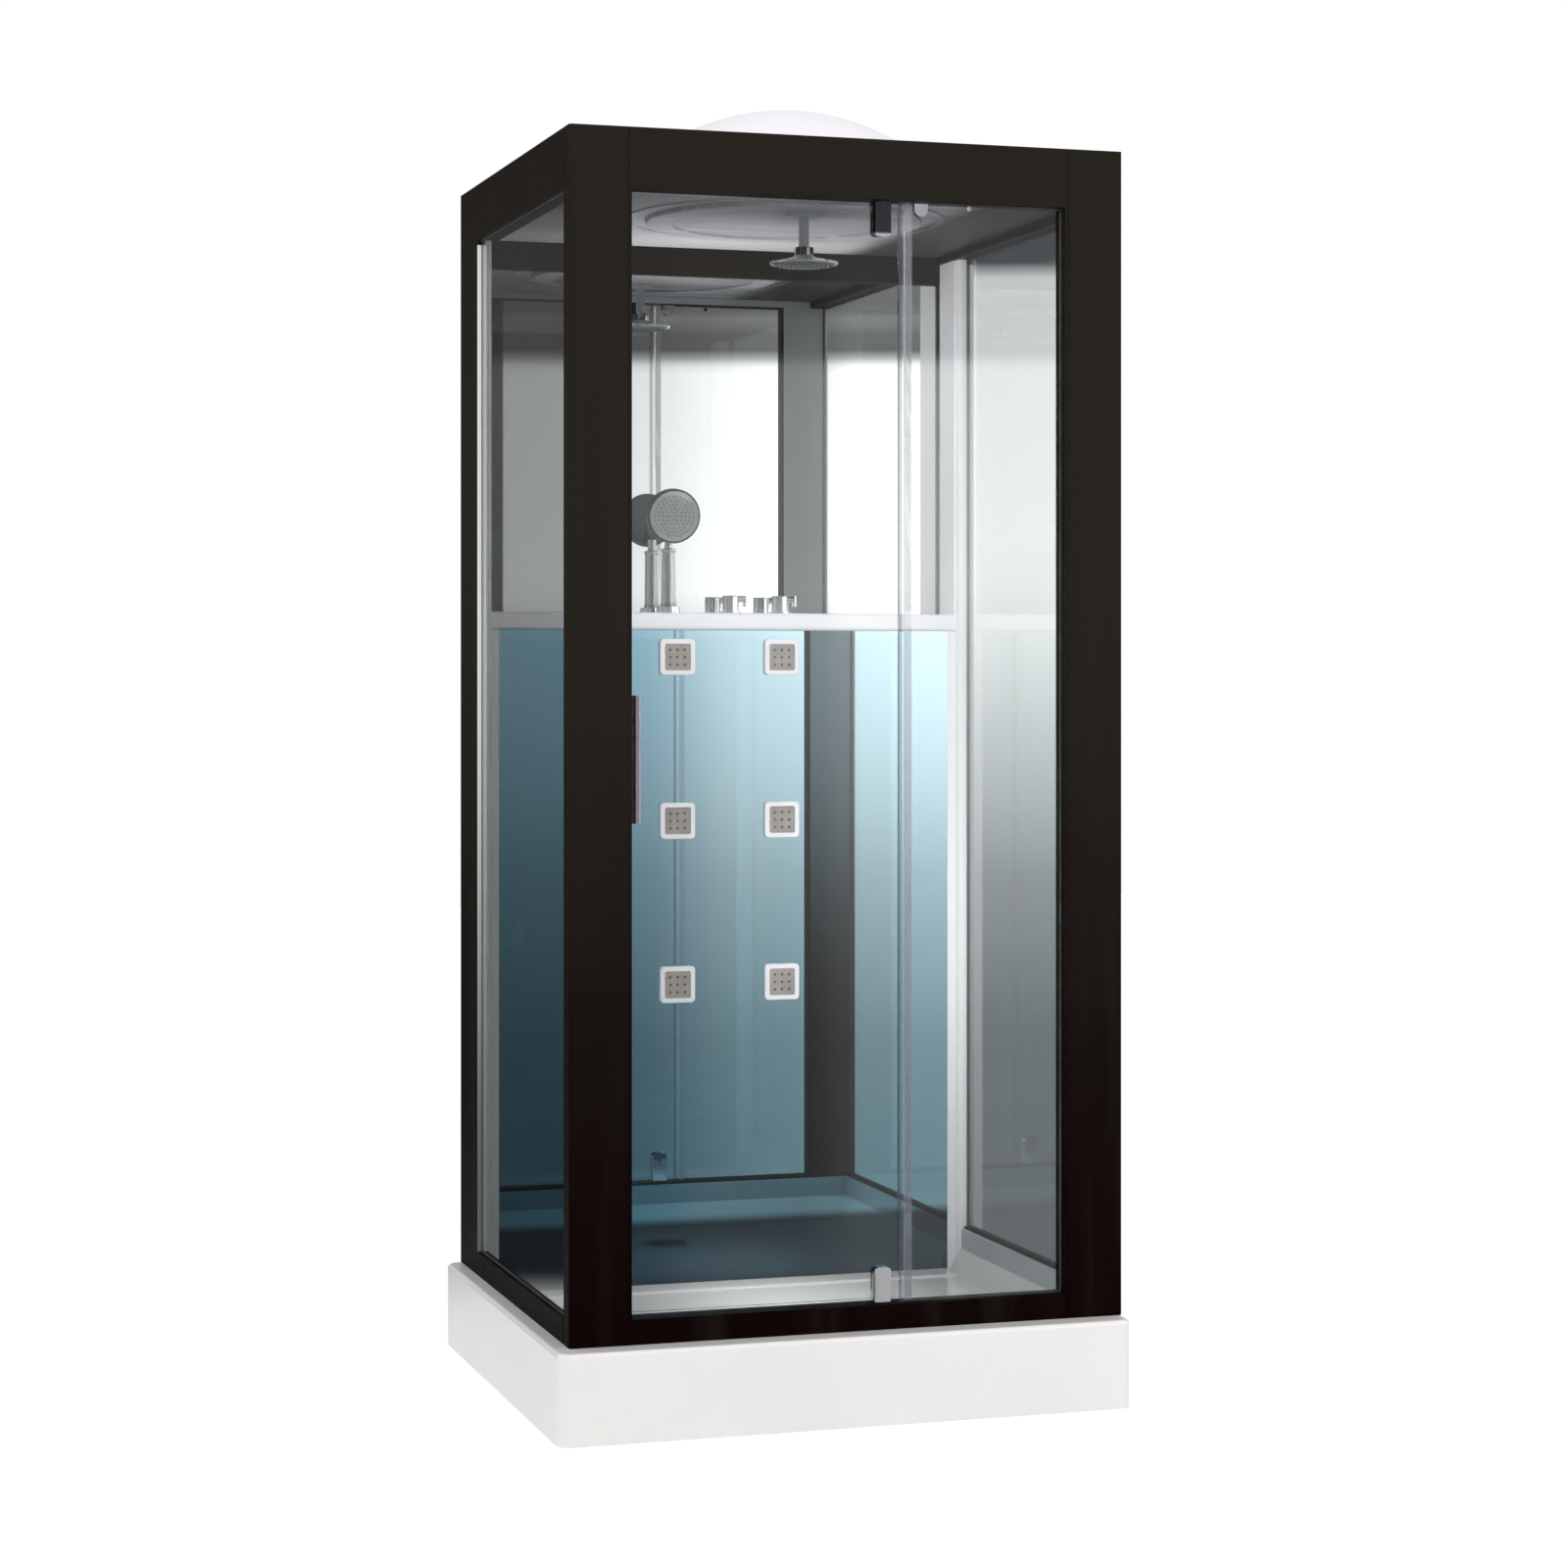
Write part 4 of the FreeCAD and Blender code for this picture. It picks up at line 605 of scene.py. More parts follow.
@dataclass(frozen=True)
class CeilingPanel(Finish):
    """Grey ceiling sheet with streaks across the cabin; painted light makes it palest at the back and painted
    shade dims its right end.

    Args:
        painted_rear_light: painted light, the tone at the back edge.
        streak_colour: tone of the pale streaks.
        front: Y in metres where the painted rear light starts.
        back: Y in metres where it is full.
        right: X in metres where the painted shade at the right end starts.
        right_end: X in metres where it is full.
        shaded_right_share: share of the tone that the painted shade leaves there.
        top_colour: plain tone of the side towards the roof.
        stretch: stretch of the streaks' pattern.
    """

    painted_rear_light: Colour = (0.62, 0.62, 0.62)
    streak_colour: Colour = (0.55, 0.55, 0.58)
    front: float = 0.16
    back: float = 0.34
    right: float = 0.235
    right_end: float = 0.315
    shaded_right_share: float = 0.1
    top_colour: Colour = (0.5, 0.5, 0.51)
    stretch: Point = (0.35, 9.0, 1.0)

    def apply(self, look: Look) -> None:
        """Feed the material's shader.

        Args:
            look: the material.
        """
        drawn = look.node("ShaderNodeMapping", {"Vector": look.coordinate(), "Scale": self.stretch})
        lines = look.noise(drawn.outputs[0], scale=5.0, detail=4.0)
        grain, _ = look.grained(scale=500.0, cloud_scale=3.0, way=Way.ALONG_X)
        # Painted light: the sheet grows paler towards the back.
        rear = look.span(look.axis("Object", "Y"), self.front, self.back)
        body = look.blend(rear, self.colour, self.painted_rear_light)
        streaked = look.blend(look.patches(lines, low=0.5, high=0.68, share=0.55), body, self.streak_colour)
        # Painted shade: the right end keeps only a small share of its tone.
        dim = look.span(look.axis("Object", "X"), self.right, self.right_end, first=1.0,
                        last=self.shaded_right_share)
        below = look.vector("SCALE", {0: streaked, 3: dim})
        sided = look.blend(look.span(look.axis("Normal", "Z"), low=0.3, high=0.7), below, self.top_colour)
        look.set(Base_Color=sided, Specular_IOR_Level=0.12)
        look.roughen(grain, below=0.05, above=0.08)
        look.relief(grain, strength=0.2, depth=0.0001)


@dataclass(frozen=True)
class Metal(Finish):
    """Plated or bare metal with fine drawing lines and dried drops, and a dark painted reflection above a
    given height.

    Args:
        way: way of the drawing lines.
        lines: how strongly the lines change the roughness.
        spots: amount of dried drops.
        tarnish: colour of the duller clouds.
        shadow: painted reflection, the dark colour of what lies above shadow_from, where only the dark beam
            is mirrored.
        shadow_from: height in metres where that colour starts.
        shadow_blur: length in metres over which it fades in.
    """

    way: Way = Way.ROUND
    lines: float = 0.05
    spots: float = 0.4
    tarnish: Colour = (0.55, 0.56, 0.58)
    shadow: Colour = (0.06, 0.06, 0.065)
    shadow_from: float = 9.0
    shadow_blur: float = 0.006

    def apply(self, look: Look) -> None:
        """Feed the material's shader.

        Args:
            look: the material.
        """
        grain, cloud = look.grained(scale=700.0, cloud_scale=18.0, way=self.way)
        dulled = look.blend(look.patches(cloud, low=0.45, high=0.8, share=0.5), self.colour, self.tarnish)
        # Painted reflection: above shadow_from the metal takes the dark beam's mirrored colour.
        fade = look.fade(self.shadow_from, self.shadow_from + self.shadow_blur, unevenness=0.0)
        look.set(Base_Color=look.blend(fade, dulled, self.shadow), Metallic=1.0)
        look.roughen(grain, self.lines, self.lines, look.marks(self.spots, share=0.25, scale=260.0))
        look.relief(grain, strength=0.08, depth=0.00005)


@dataclass(frozen=True)
class Mirror(Finish):
    """Silvered glass: a tinted reflection with a faint haze, deepened by painted shade towards its foot, at
    the left and along the lower edge.

    Args:
        painted_foot_shade: tint at the foot, painted shade.
        foot: height of the painted foot shade.
        head: height from which the main tint is full.
        haze: amount of dried drops.
        painted_left_shade: painted shade, a further darkening at the left.
        left: X in metres where that painted shade is full.
        middle: X in metres where it ends.
        painted_sill_shade: painted shade of the strip along the lower edge.
        sill: height where that strip is full.
        sill_end: height where it ends.
    """

    painted_foot_shade: Colour
    foot: float = 0.2
    head: float = 1.3
    haze: float = 0.2
    painted_left_shade: Colour = WHITE
    left: float = -0.2
    middle: float = 0.02
    painted_sill_shade: Colour = WHITE
    sill: float = 0.216
    sill_end: float = 0.238

    def apply(self, look: Look) -> None:
        """Feed the material's shader.

        Args:
            look: the material.
        """
        _, cloud = look.grained(scale=60.0, cloud_scale=3.0)
        # Painted shade: the reflection deepens towards the foot.
        tint = look.blend(look.fade(self.foot, self.head, unevenness=0.04), self.painted_foot_shade, self.colour)
        soft = tuple(value * 0.94 for value in self.colour)
        clouded = look.blend(look.patches(cloud, low=0.45, high=0.7, share=0.25), tint, soft)
        # Painted shade: darker at the left.
        side = look.blend(look.span(look.axis("Object", "X"), self.left, self.middle), self.painted_left_shade, WHITE)
        # Painted shade along the lower edge.
        low = look.blend(look.span(look.axis("Object", "Z"), self.sill, self.sill_end), self.painted_sill_shade, WHITE)
        whole = look.vector("MULTIPLY", {0: clouded, 1: look.vector("MULTIPLY", {0: side, 1: low})})
        rough = look.math("ADD", self.roughness, look.marks(self.haze, share=0.06, scale=70.0))
        look.set(Base_Color=whole, Roughness=rough, Metallic=1.0)


@dataclass(frozen=True)
class Glass(Finish):
    """Flat safety glass: refracts, tints what is behind, and lets the lamps through.

    Args:
        lamp_colour: what the glass leaves of lamp light.
        cloud_colour: tint in the faint clouds.
        bending: index of refraction.
    """

    lamp_colour: Colour
    cloud_colour: Colour
    bending: float = 1.48

    def apply(self, look: Look) -> None:
        """Feed the material's shader.

        Args:
            look: the material.
        """
        _, cloud = look.grained(scale=80.0, cloud_scale=2.0)
        tint = look.blend(look.patches(cloud, low=0.4, high=0.8, share=0.1), self.colour, self.cloud_colour)
        look.set(Base_Color=tint, Transmission_Weight=1.0, IOR=self.bending)
        clear = look.node("ShaderNodeBsdfTransparent", {"Color": opaque(self.lamp_colour)}).outputs[0]
        lamp = look.node("ShaderNodeLightPath").outputs["Is Shadow Ray"]
        mix = look.node("ShaderNodeMixShader", {0: lamp, 1: look.shader.outputs[0], 2: clear})
        look.plug(mix.outputs[0], look.find("OUTPUT_MATERIAL").inputs["Surface"])


@dataclass(frozen=True)
class Rubber(Finish):
    """Matte rubber or silicone with a dusty bloom, and darker tips where the nozzles stand out.

    Args:
        tip_colour: colour of what stands out to the front.
        tip_from: Y in metres where the tips begin.
        tip_to: Y in metres where the tips end.
    """

    tip_colour: Colour = (0.2, 0.18, 0.17)
    tip_from: float = -9.0
    tip_to: float = -10.0

    def apply(self, look: Look) -> None:
        """Feed the material's shader.

        Args:
            look: the material.
        """
        grain, cloud = look.grained(scale=500.0, cloud_scale=30.0)
        bloom = tuple(min(1.0, value * 1.15 + 0.02) for value in self.colour)
        body = look.blend(look.span(cloud, low=0.4, high=0.7), self.colour, bloom)
        tip = look.span(look.axis("Object", "Y"), self.tip_from, self.tip_to)
        look.set(Base_Color=look.blend(tip, body, self.tip_colour))
        look.roughen(grain, below=0.05, above=0.05)
        look.relief(grain, strength=0.2, depth=0.0001)


@dataclass(frozen=True)
class Strip(Finish):
    """Pale see-through plastic strip, a little milky, with a darker lip along the fixed pane's free edge, and
    painted shade towards the tray and near the beam.

    Args:
        body: how much each of its skins covers.
        lip: how much the lip covers.
        lip_colour: tone of the lip.
        lip_left: X in metres of the lip's left end.
        lip_right: X in metres of its right end.
        blur: length in metres over which the lip's ends fade.
        painted_foot_shade: painted shade, a deeper tone near the tray.
        painted_head_shade: painted shade, a duller tone near the beam.
        milk: tone of the milky clouds.
        milkiness: share of that tone.
    """

    body: float = 0.085
    lip: float = 0.42
    lip_colour: Colour = (0.12, 0.13, 0.17)
    lip_left: float = 0.1005
    lip_right: float = 0.1075
    blur: float = 0.0015
    painted_foot_shade: Colour = (0.3, 0.31, 0.36)
    painted_head_shade: Colour = (0.5, 0.5, 0.52)
    milk: Colour = (0.9, 0.92, 0.95)
    milkiness: float = 0.12

    def apply(self, look: Look) -> None:
        """Feed the material's shader.

        Args:
            look: the material.
        """
        grain, cloud = look.grained(scale=200.0, cloud_scale=8.0, way=Way.UPRIGHT)
        # Painted shade: deeper near the tray and duller near the beam.
        rising = look.blend(look.fade(low=0.3, high=1.45, unevenness=0.1), self.painted_foot_shade, self.colour)
        body = look.blend(look.fade(low=1.45, high=1.8, unevenness=0.1), rising, self.painted_head_shade)
        milky = look.blend(look.times(cloud, self.milkiness), body, self.milk)
        across = look.axis("Object", "X")
        edge = look.times(look.span(across, self.lip_right, self.lip_right - self.blur),
                          look.span(across, self.lip_left, self.lip_left + self.blur))
        look.set(Base_Color=look.blend(edge, milky, self.lip_colour),
                 Alpha=look.span(edge, 0.0, 1.0, self.body, self.lip))
        look.roughen(grain, below=0.05, above=0.05)


class FinishBook:
    """All finishes of the cabin, made when first asked for."""

    PAINT: ClassVar[Colour] = (0.0175, 0.0145, 0.0115)
    FINISHES: ClassVar[dict[str, Finish]] = {finish.name: finish for finish in (
        Paint("frame_paint", PAINT, 0.42),
        EdgedPaint("edged_paint", PAINT, 0.42),
        Moulding("white_acrylic", rgb(238, 237, 235), 0.16, rgb(233, 232, 230), gloss=0.25,
                 texture=0.00006, spots=0.15),
        Moulding("shelf_acrylic", rgb(247, 246, 249), 0.22, rgb(240, 239, 243), gloss=0.2,
                 texture=0.00012, spots=0.3),
        Moulding("white_plastic", rgb(251, 249, 252), 0.3, rgb(247, 245, 249), gloss=0.1, texture=0.00008),
        Moulding("dome_acrylic", rgb(241, 239, 243), 0.6, rgb(237, 235, 239), gloss=0.0, shine=0.03,
                 texture=0.00008),
        Moulding("white_trim", rgb(246, 246, 248), 0.32, rgb(241, 241, 243), gloss=0.05, grain_scale=700.0),
        Moulding("grey_trim", rgb(186, 189, 190), 0.35, rgb(174, 177, 178), gloss=0.05, grain_scale=700.0),
        Moulding("grey_plastic", rgb(176, 178, 180), 0.45, rgb(160, 162, 165), gloss=0.0, texture=0.00015),
        Moulding("black_plastic", rgb(34, 34, 35), 0.45, rgb(26, 26, 27), gloss=0.0),
        CeilingPanel("ceiling_sheet", (0.36, 0.355, 0.37), 0.45),
        CeilingPanel("opal", (0.3, 0.295, 0.315), 0.4, painted_rear_light=(0.42, 0.42, 0.44),
                     streak_colour=(0.5, 0.5, 0.53)),
        Glass("front_glass", (0.95, 0.965, 0.965), 0.0, lamp_colour=(0.92, 0.94, 0.94),
              cloud_colour=(0.92, 0.945, 0.94)),
        Glass("side_glass", (0.6, 0.615, 0.61), 0.0, lamp_colour=(0.72, 0.74, 0.74),
              cloud_colour=(0.54, 0.56, 0.56)),
        Mirror("blue_mirror", (0.61, 0.83, 0.92), 0.012, painted_foot_shade=(0.40, 0.755, 0.90), foot=0.25,
               head=1.1, painted_left_shade=(0.59, 0.78, 0.88), painted_sill_shade=(0.14, 0.135, 0.145)),
        Mirror("mirror_glass", (0.93, 0.94, 0.94), 0.006, painted_foot_shade=(0.93, 0.94, 0.94)),
        Metal("chrome", (0.80, 0.81, 0.82), 0.07, lines=0.03, tarnish=(0.68, 0.69, 0.71)),
        Metal("hinge_chrome", (0.80, 0.80, 0.81), 0.12, lines=0.04, tarnish=(0.66, 0.66, 0.68),
              shadow_from=1.982),
        Metal("dark_chrome", (0.10, 0.125, 0.135), 0.22, tarnish=(0.08, 0.1, 0.11)),
        Metal("satin_chrome", (0.84, 0.84, 0.83), 0.33, Way.UPRIGHT, lines=0.06, tarnish=(0.7, 0.7, 0.7)),
        Metal("steel", (0.58, 0.58, 0.58), 0.28, lines=0.08),
        Metal("zinc_steel", (0.50, 0.52, 0.54), 0.42, Way.ALONG_X, lines=0.1, tarnish=(0.35, 0.36, 0.38)),
        Metal("brass", (0.68, 0.52, 0.26), 0.36, lines=0.08, tarnish=(0.42, 0.32, 0.18)),
        Metal("grip_metal", (0.34, 0.29, 0.32), 0.3, Way.UPRIGHT, lines=0.08, tarnish=(0.36, 0.33, 0.36)),
        Rubber("gasket_rubber", rgb(72, 74, 74), 0.6),
        Rubber("grey_rubber", rgb(158, 150, 144), 0.55, tip_colour=rgb(108, 92, 90), tip_from=0.3185,
               tip_to=0.3170),
        Rubber("spray_rubber", rgb(126, 131, 126), 0.55),
        Rubber("nozzle_rubber", rgb(94, 98, 96), 0.6),
        Strip("pale_seal", (0.66, 0.655, 0.69), 0.2))}

    @classmethod
    @cache
    def get(cls, name: str) -> bpy.types.Material:
        """Material of a finish, made on first use."""
        return cls.FINISHES[name].build()


class Trees:
    """Geometry node trees for what repeats, each made once."""

    NUB_SIDES = 10
    NUB_TAPER = 0.6
    HELIX_STEPS = 24
    RIDGE_SIDES = 4
    HEAD_SIDES = 20
    HEAD_TAPER = 0.7
    CROSS_ARM: Span = (1.1, 0.22)

    @staticmethod
    def begin(name: str, **inputs: Kind) -> tuple:
        """Start a tree with a geometry in and out, a turn and a finish.

        Args:
            name: tree name.
            inputs: further inputs with their kinds, underscores for spaces in the names.

        Returns:
            The graph, the sockets that the tree's inputs give, and the sockets of its outputs.
        """
        further = {label.replace("_", " "): kind for label, kind in inputs.items()}
        return open_group("GeometryNodeTree", name, {
            "Geometry": Kind.SHAPE, **further, "Turn": Kind.VECTOR, "Finish": Kind.FINISH},
            {"Geometry": Kind.SHAPE})

    @staticmethod
    def close(graph: Graph, shape: Socket, start: Sequence[Socket], end: Sequence[Socket]) -> Tree:
        """Place a shape at each given point, and end in Realize Instances and Set Material.

        Args:
            graph: the tree's graph.
            shape: geometry that the tree has made.
            start: sockets that the tree's inputs give.
            end: sockets of its outputs.

        Returns:
            The finished tree.
        """
        placed = graph.node("GeometryNodeInstanceOnPoints", {
            "Points": start["Geometry"], "Instance": shape, "Rotation": start["Turn"]})
        real = graph.node("GeometryNodeRealizeInstances", {0: placed.outputs[0]})
        dressed = graph.node("GeometryNodeSetMaterial", {"Geometry": real.outputs[0],
                                                         "Material": start["Finish"]})
        graph.plug(dressed.outputs[0], end["Geometry"])
        return graph.tree

    @staticmethod
    @cache
    def nozzle_rings() -> Tree:
        """Small tapered nubs on rings round each place, six more on each ring than on the last.

        Returns:
            The tree.
        """
        graph, start, end = Trees.begin("nozzle_rings", Count=Kind.COUNT, Pitch=Kind.NUMBER,
                                        Nub_Radius=Kind.NUMBER, Nub_Height=Kind.NUMBER)
        # Ring n ends with nub 3 n (n + 1), so the ring of a nub follows from its number.
        index = graph.node("GeometryNodeInputIndex").outputs[0]
        root = graph.math("SQRT", graph.math("ADD", graph.times(index, 4.0 / 3.0), 1.0))
        ring = graph.math("CEIL", graph.less(graph.times(graph.less(root, 1.0), 0.5), 0.0001))
        before = graph.times(graph.times(ring, graph.less(ring, 1.0)), 3.0)
        turn = graph.math("DIVIDE", graph.less(index, before),
                          graph.times(graph.math("MAXIMUM", ring, 1.0), 6.0 / math.tau))
        away = graph.times(ring, start["Pitch"])
        spot = graph.node("ShaderNodeCombineXYZ", {0: graph.times(away, graph.math("COSINE", turn)),
                                                   1: graph.times(away, graph.math("SINE", turn))})
        middles = graph.node("GeometryNodePoints", {"Count": start["Count"], "Position": spot.outputs[0]})
        nub = graph.node("GeometryNodeMeshCone", {
            "Vertices": Trees.NUB_SIDES, "Radius Top": graph.times(start["Nub Radius"], Trees.NUB_TAPER),
            "Radius Bottom": start["Nub Radius"], "Depth": start["Nub Height"]})
        nubs = graph.node("GeometryNodeInstanceOnPoints", {"Points": middles.outputs[0],
                                                           "Instance": nub.outputs[0]})
        plate = graph.node("GeometryNodeRealizeInstances", {0: nubs.outputs[0]})
        return Trees.close(graph, plate.outputs[0], start, end)

    @staticmethod
    @cache
    def thread_crests() -> Tree:
        """Screw thread ridge round a rod that starts at each place.

        Returns:
            The tree.
        """
        graph, start, end = Trees.begin("thread_crests", Radius=Kind.NUMBER, Turns=Kind.NUMBER,
                                        Length=Kind.NUMBER, Ridge=Kind.NUMBER)
        helix = graph.node("GeometryNodeCurveSpiral", {
            "Resolution": Trees.HELIX_STEPS, "Rotations": start["Turns"], "Start Radius": start["Radius"],
            "End Radius": start["Radius"], "Height": start["Length"]})
        section = graph.node("GeometryNodeCurvePrimitiveCircle", {"Resolution": Trees.RIDGE_SIDES,
                                                                  "Radius": start["Ridge"]})
        ridge = graph.node("GeometryNodeCurveToMesh", {
            "Curve": helix.outputs[0], "Profile Curve": section.outputs[0], "Fill Caps": True})
        return Trees.close(graph, ridge.outputs[0], start, end)

    @staticmethod
    @cache
    def screw_heads() -> Tree:
        """Low screw heads with a cross recess, one at each place.

        Returns:
            The tree.
        """
        graph, start, end = Trees.begin("screw_heads", Radius=Kind.NUMBER, Height=Kind.NUMBER)
        radius, height = start["Radius"], start["Height"]
        dome = graph.node("GeometryNodeMeshCone", {
            "Vertices": Trees.HEAD_SIDES, "Radius Top": graph.times(radius, Trees.HEAD_TAPER),
            "Radius Bottom": radius, "Depth": height})
        rest = graph.node("ShaderNodeCombineXYZ", {2: height})
        recess = graph.node("GeometryNodeMeshBoolean", {"Mesh 1": dome.outputs[0]}, operation="DIFFERENCE",
                            solver="EXACT")
        for wide, deep in (Trees.CROSS_ARM, Trees.CROSS_ARM[::-1]):
            size = graph.node("ShaderNodeCombineXYZ", {0: graph.times(radius, wide),
                                                       1: graph.times(radius, deep), 2: height})
            arm = graph.node("GeometryNodeMeshCube", {"Size": size.outputs[0]})
            moved = graph.node("GeometryNodeTransform", {"Geometry": arm.outputs[0],
                                                         "Translation": rest.outputs[0]})
            graph.plug(moved.outputs[0], recess.inputs["Mesh 2"])
        return Trees.close(graph, recess.outputs[0], start, end)


@dataclass(frozen=True)
class Recipe:
    """A geometry node tree and the values that one piece gives it.

    Args:
        tree: the geometry node tree.
        values: input name with its value.
    """

    tree: Tree
    values: dict[str, object]

    def cook(self, name: str, places: Sequence[Point]) -> bpy.types.Object:
        """Run the tree on a set of places and keep the result as a plain mesh.

        Args:
            name: name of the piece.
            places: vertices that the tree starts from.

        Returns:
            The plain mesh object at the origin.
        """
        seed = bpy.data.meshes.new(name + "_places")
        seed.from_pydata(list(places), [], [])
        carrier = bpy.data.objects.new(name + "_carrier", seed)
        bpy.context.collection.objects.link(carrier)
        modifier = carrier.modifiers.new("recipe", "NODES")
        modifier.node_group = self.tree
        for item in self.tree.interface.items_tree:
            if item.item_type == "SOCKET" and item.in_out == "INPUT" and item.name in self.values:
                modifier[item.identifier] = self.values[item.name]
        shown = carrier.evaluated_get(bpy.context.evaluated_depsgraph_get())
        mesh = bpy.data.meshes.new_from_object(shown)
        mesh.name = name
        carrier.modifiers.remove(modifier)
        bpy.data.objects.remove(carrier)
        bpy.data.meshes.remove(seed)
        piece = bpy.data.objects.new(name, mesh)
        bpy.context.collection.objects.link(piece)
        return piece


@dataclass(frozen=True)
class Nubs:
    """Spray nubs of a shower's face.

    Args:
        count: nubs on the face.
        pitch: distance between the rings of nubs.
        radius: radius of a nub's foot.
        height: height of a nub.
        stand: share of that height by which a nub's middle stands off the face.
    """

    count: int
    pitch: float
    radius: float
    height: float
    stand: float = 0.3

    def recipe(self, turn: Point, finish: bpy.types.Material) -> Recipe:
        """Recipe of the nubs, turned to their face."""
        return Recipe(Trees.nozzle_rings(), {
            "Count": self.count, "Pitch": self.pitch, "Nub Radius": self.radius, "Nub Height": self.height,
            "Turn": turn, "Finish": finish})


@dataclass(frozen=True)
class Thread:
    """Screw thread of a rod or a nipple.

    Args:
        radius: radius of the crests.
        pitch: distance between crests.
        ridge: how far a crest stands out.
        length: length of the thread.
    """

    radius: float
    pitch: float
    ridge: float
    length: float

    def recipe(self, turn: Point, finish: bpy.types.Material) -> Recipe:
        """Recipe of the thread, turned to its way."""
        return Recipe(Trees.thread_crests(), {
            "Radius": self.radius, "Turns": self.length / self.pitch, "Length": self.length,
            "Ridge": self.ridge, "Turn": turn, "Finish": finish})


@dataclass(frozen=True)
class Screws:
    """Heads of sheet screws.

    Args:
        radius: radius of a head.
        height: height of a head.
    """

    radius: float
    height: float

    def recipe(self, turn: Point, finish: bpy.types.Material) -> Recipe:
        """Recipe of the heads, turned to their face."""
        return Recipe(Trees.screw_heads(), {"Radius": self.radius, "Height": self.height, "Turn": turn,
                                            "Finish": finish})


@dataclass
class Assembly:
    """A group of the part's own nodes that are dressed together.

    Args:
        frame: the loaded frame.
    """

    frame: dict
    # Each finish with the nodes that it dresses, parted by spaces.
    DRESS: ClassVar[dict[str, str]] = {}

    def dress(self) -> None:
        """Give each node its finish."""
        for finish, nodes in self.DRESS.items():
            for node in nodes.split():
                piece = self.frame["nodes"][node]
                piece.data.materials.clear()
                piece.data.materials.append(FinishBook.get(finish))
                LOG.info("dressed %s in %s", node, finish)

    def build(self) -> None:
        """Add the fine pieces that the solids leave out."""

    def middle(self, node: str) -> Vector:
        """Middle of a node's box."""
        low, high = (Vector(corner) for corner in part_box(node))
        return (low + high) / 2

    def add(self, name: str, recipe: Recipe, places: Sequence[Point], body: str, slot: str) -> None:
        """Make a piece, tie it to its body and report it.

        Args:
            name: name of the piece.
            recipe: how it is made.
            places: where the repeated shape stands.
            body: body that it moves with.
            slot: not used.
        """
        piece = recipe.cook(name, places)
        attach(piece, body)
        LOG.info("made %s, %d faces, on %s", piece.name, len(piece.data.polygons), body)


@dataclass
class Enclosure(Assembly):
    """Dark frame, glazing and the pale trims along it."""

    DRESS = {
        "frame_paint": "front_post_left front_post_right front_beam front_rail side_beams side_rails "
                       "rear_header",
        "edged_paint": "rear_side_panels", "grey_trim": "glazing_beads", "front_glass": "fixed_pane",
        "side_glass": "side_pane_left side_pane_right", "gasket_rubber": "glazing_gaskets",
        "pale_seal": "pane_edge_seal", "chrome": "pane_fixings", "white_trim": "corner_profiles",
    }


@dataclass
class Door(Assembly):
    """Pivot door with its hinges, grips and seals."""

    DRESS = {
        "front_glass": "door_pane", "hinge_chrome": "hinge_blocks hinge_plates",
        "steel": "hinge_pins door_screws", "black_plastic": "hinge_bushes",
        "grip_metal": "door_grip_outer door_grip_inner", "pale_seal": "door_latch_seal door_drip_seal",
    }


@dataclass
class Base(Assembly):
    """Tray, the frame under it, its feet and the waste.

    Args:
        thread: thread of the feet's rods.
        thread_foot: height where it starts.
        foot_gap: least distance between two feet.
        ground: height under which a vertex is taken to be on a foot's sole.
    """

    DRESS = {
        "white_acrylic": "tray", "zinc_steel": "tray_support_frame", "black_plastic": "levelling_feet",
        "grey_plastic": "waste_trap", "chrome": "waste_cover",
    }
    thread: Thread = Thread(radius=0.005, pitch=0.00175, ridge=0.0006, length=0.055)
    thread_foot: float = 0.011
    foot_gap: float = 0.06
    ground: float = 0.001

    def foot_places(self) -> list[Point]:
        """Centres of the feet, from the vertices of their soles.

        Returns:
            The places.
        """
        mesh = self.frame["nodes"]["levelling_feet"].data
        soles: list[list[Vector]] = []
        for vertex in mesh.vertices:
            if vertex.co.z >= self.ground:
                continue
            spot = Vector((vertex.co.x, vertex.co.y, 0.0))
            sole = next((known for known in soles if (spot - known[0]).length <= self.foot_gap), None)
            if sole is None:
                soles.append([spot])
            else:
                sole.append(spot)
        return [(sum(p.x for p in sole) / len(sole), sum(p.y for p in sole) / len(sole), self.thread_foot)
                for sole in soles]

    def build(self) -> None:
        """Thread the feet's rods."""
        recipe = self.thread.recipe(Facing.UP.value, FinishBook.get("black_plastic"))
        self.add("foot_threads", recipe, self.foot_places(), "cabin", "black_plastic")


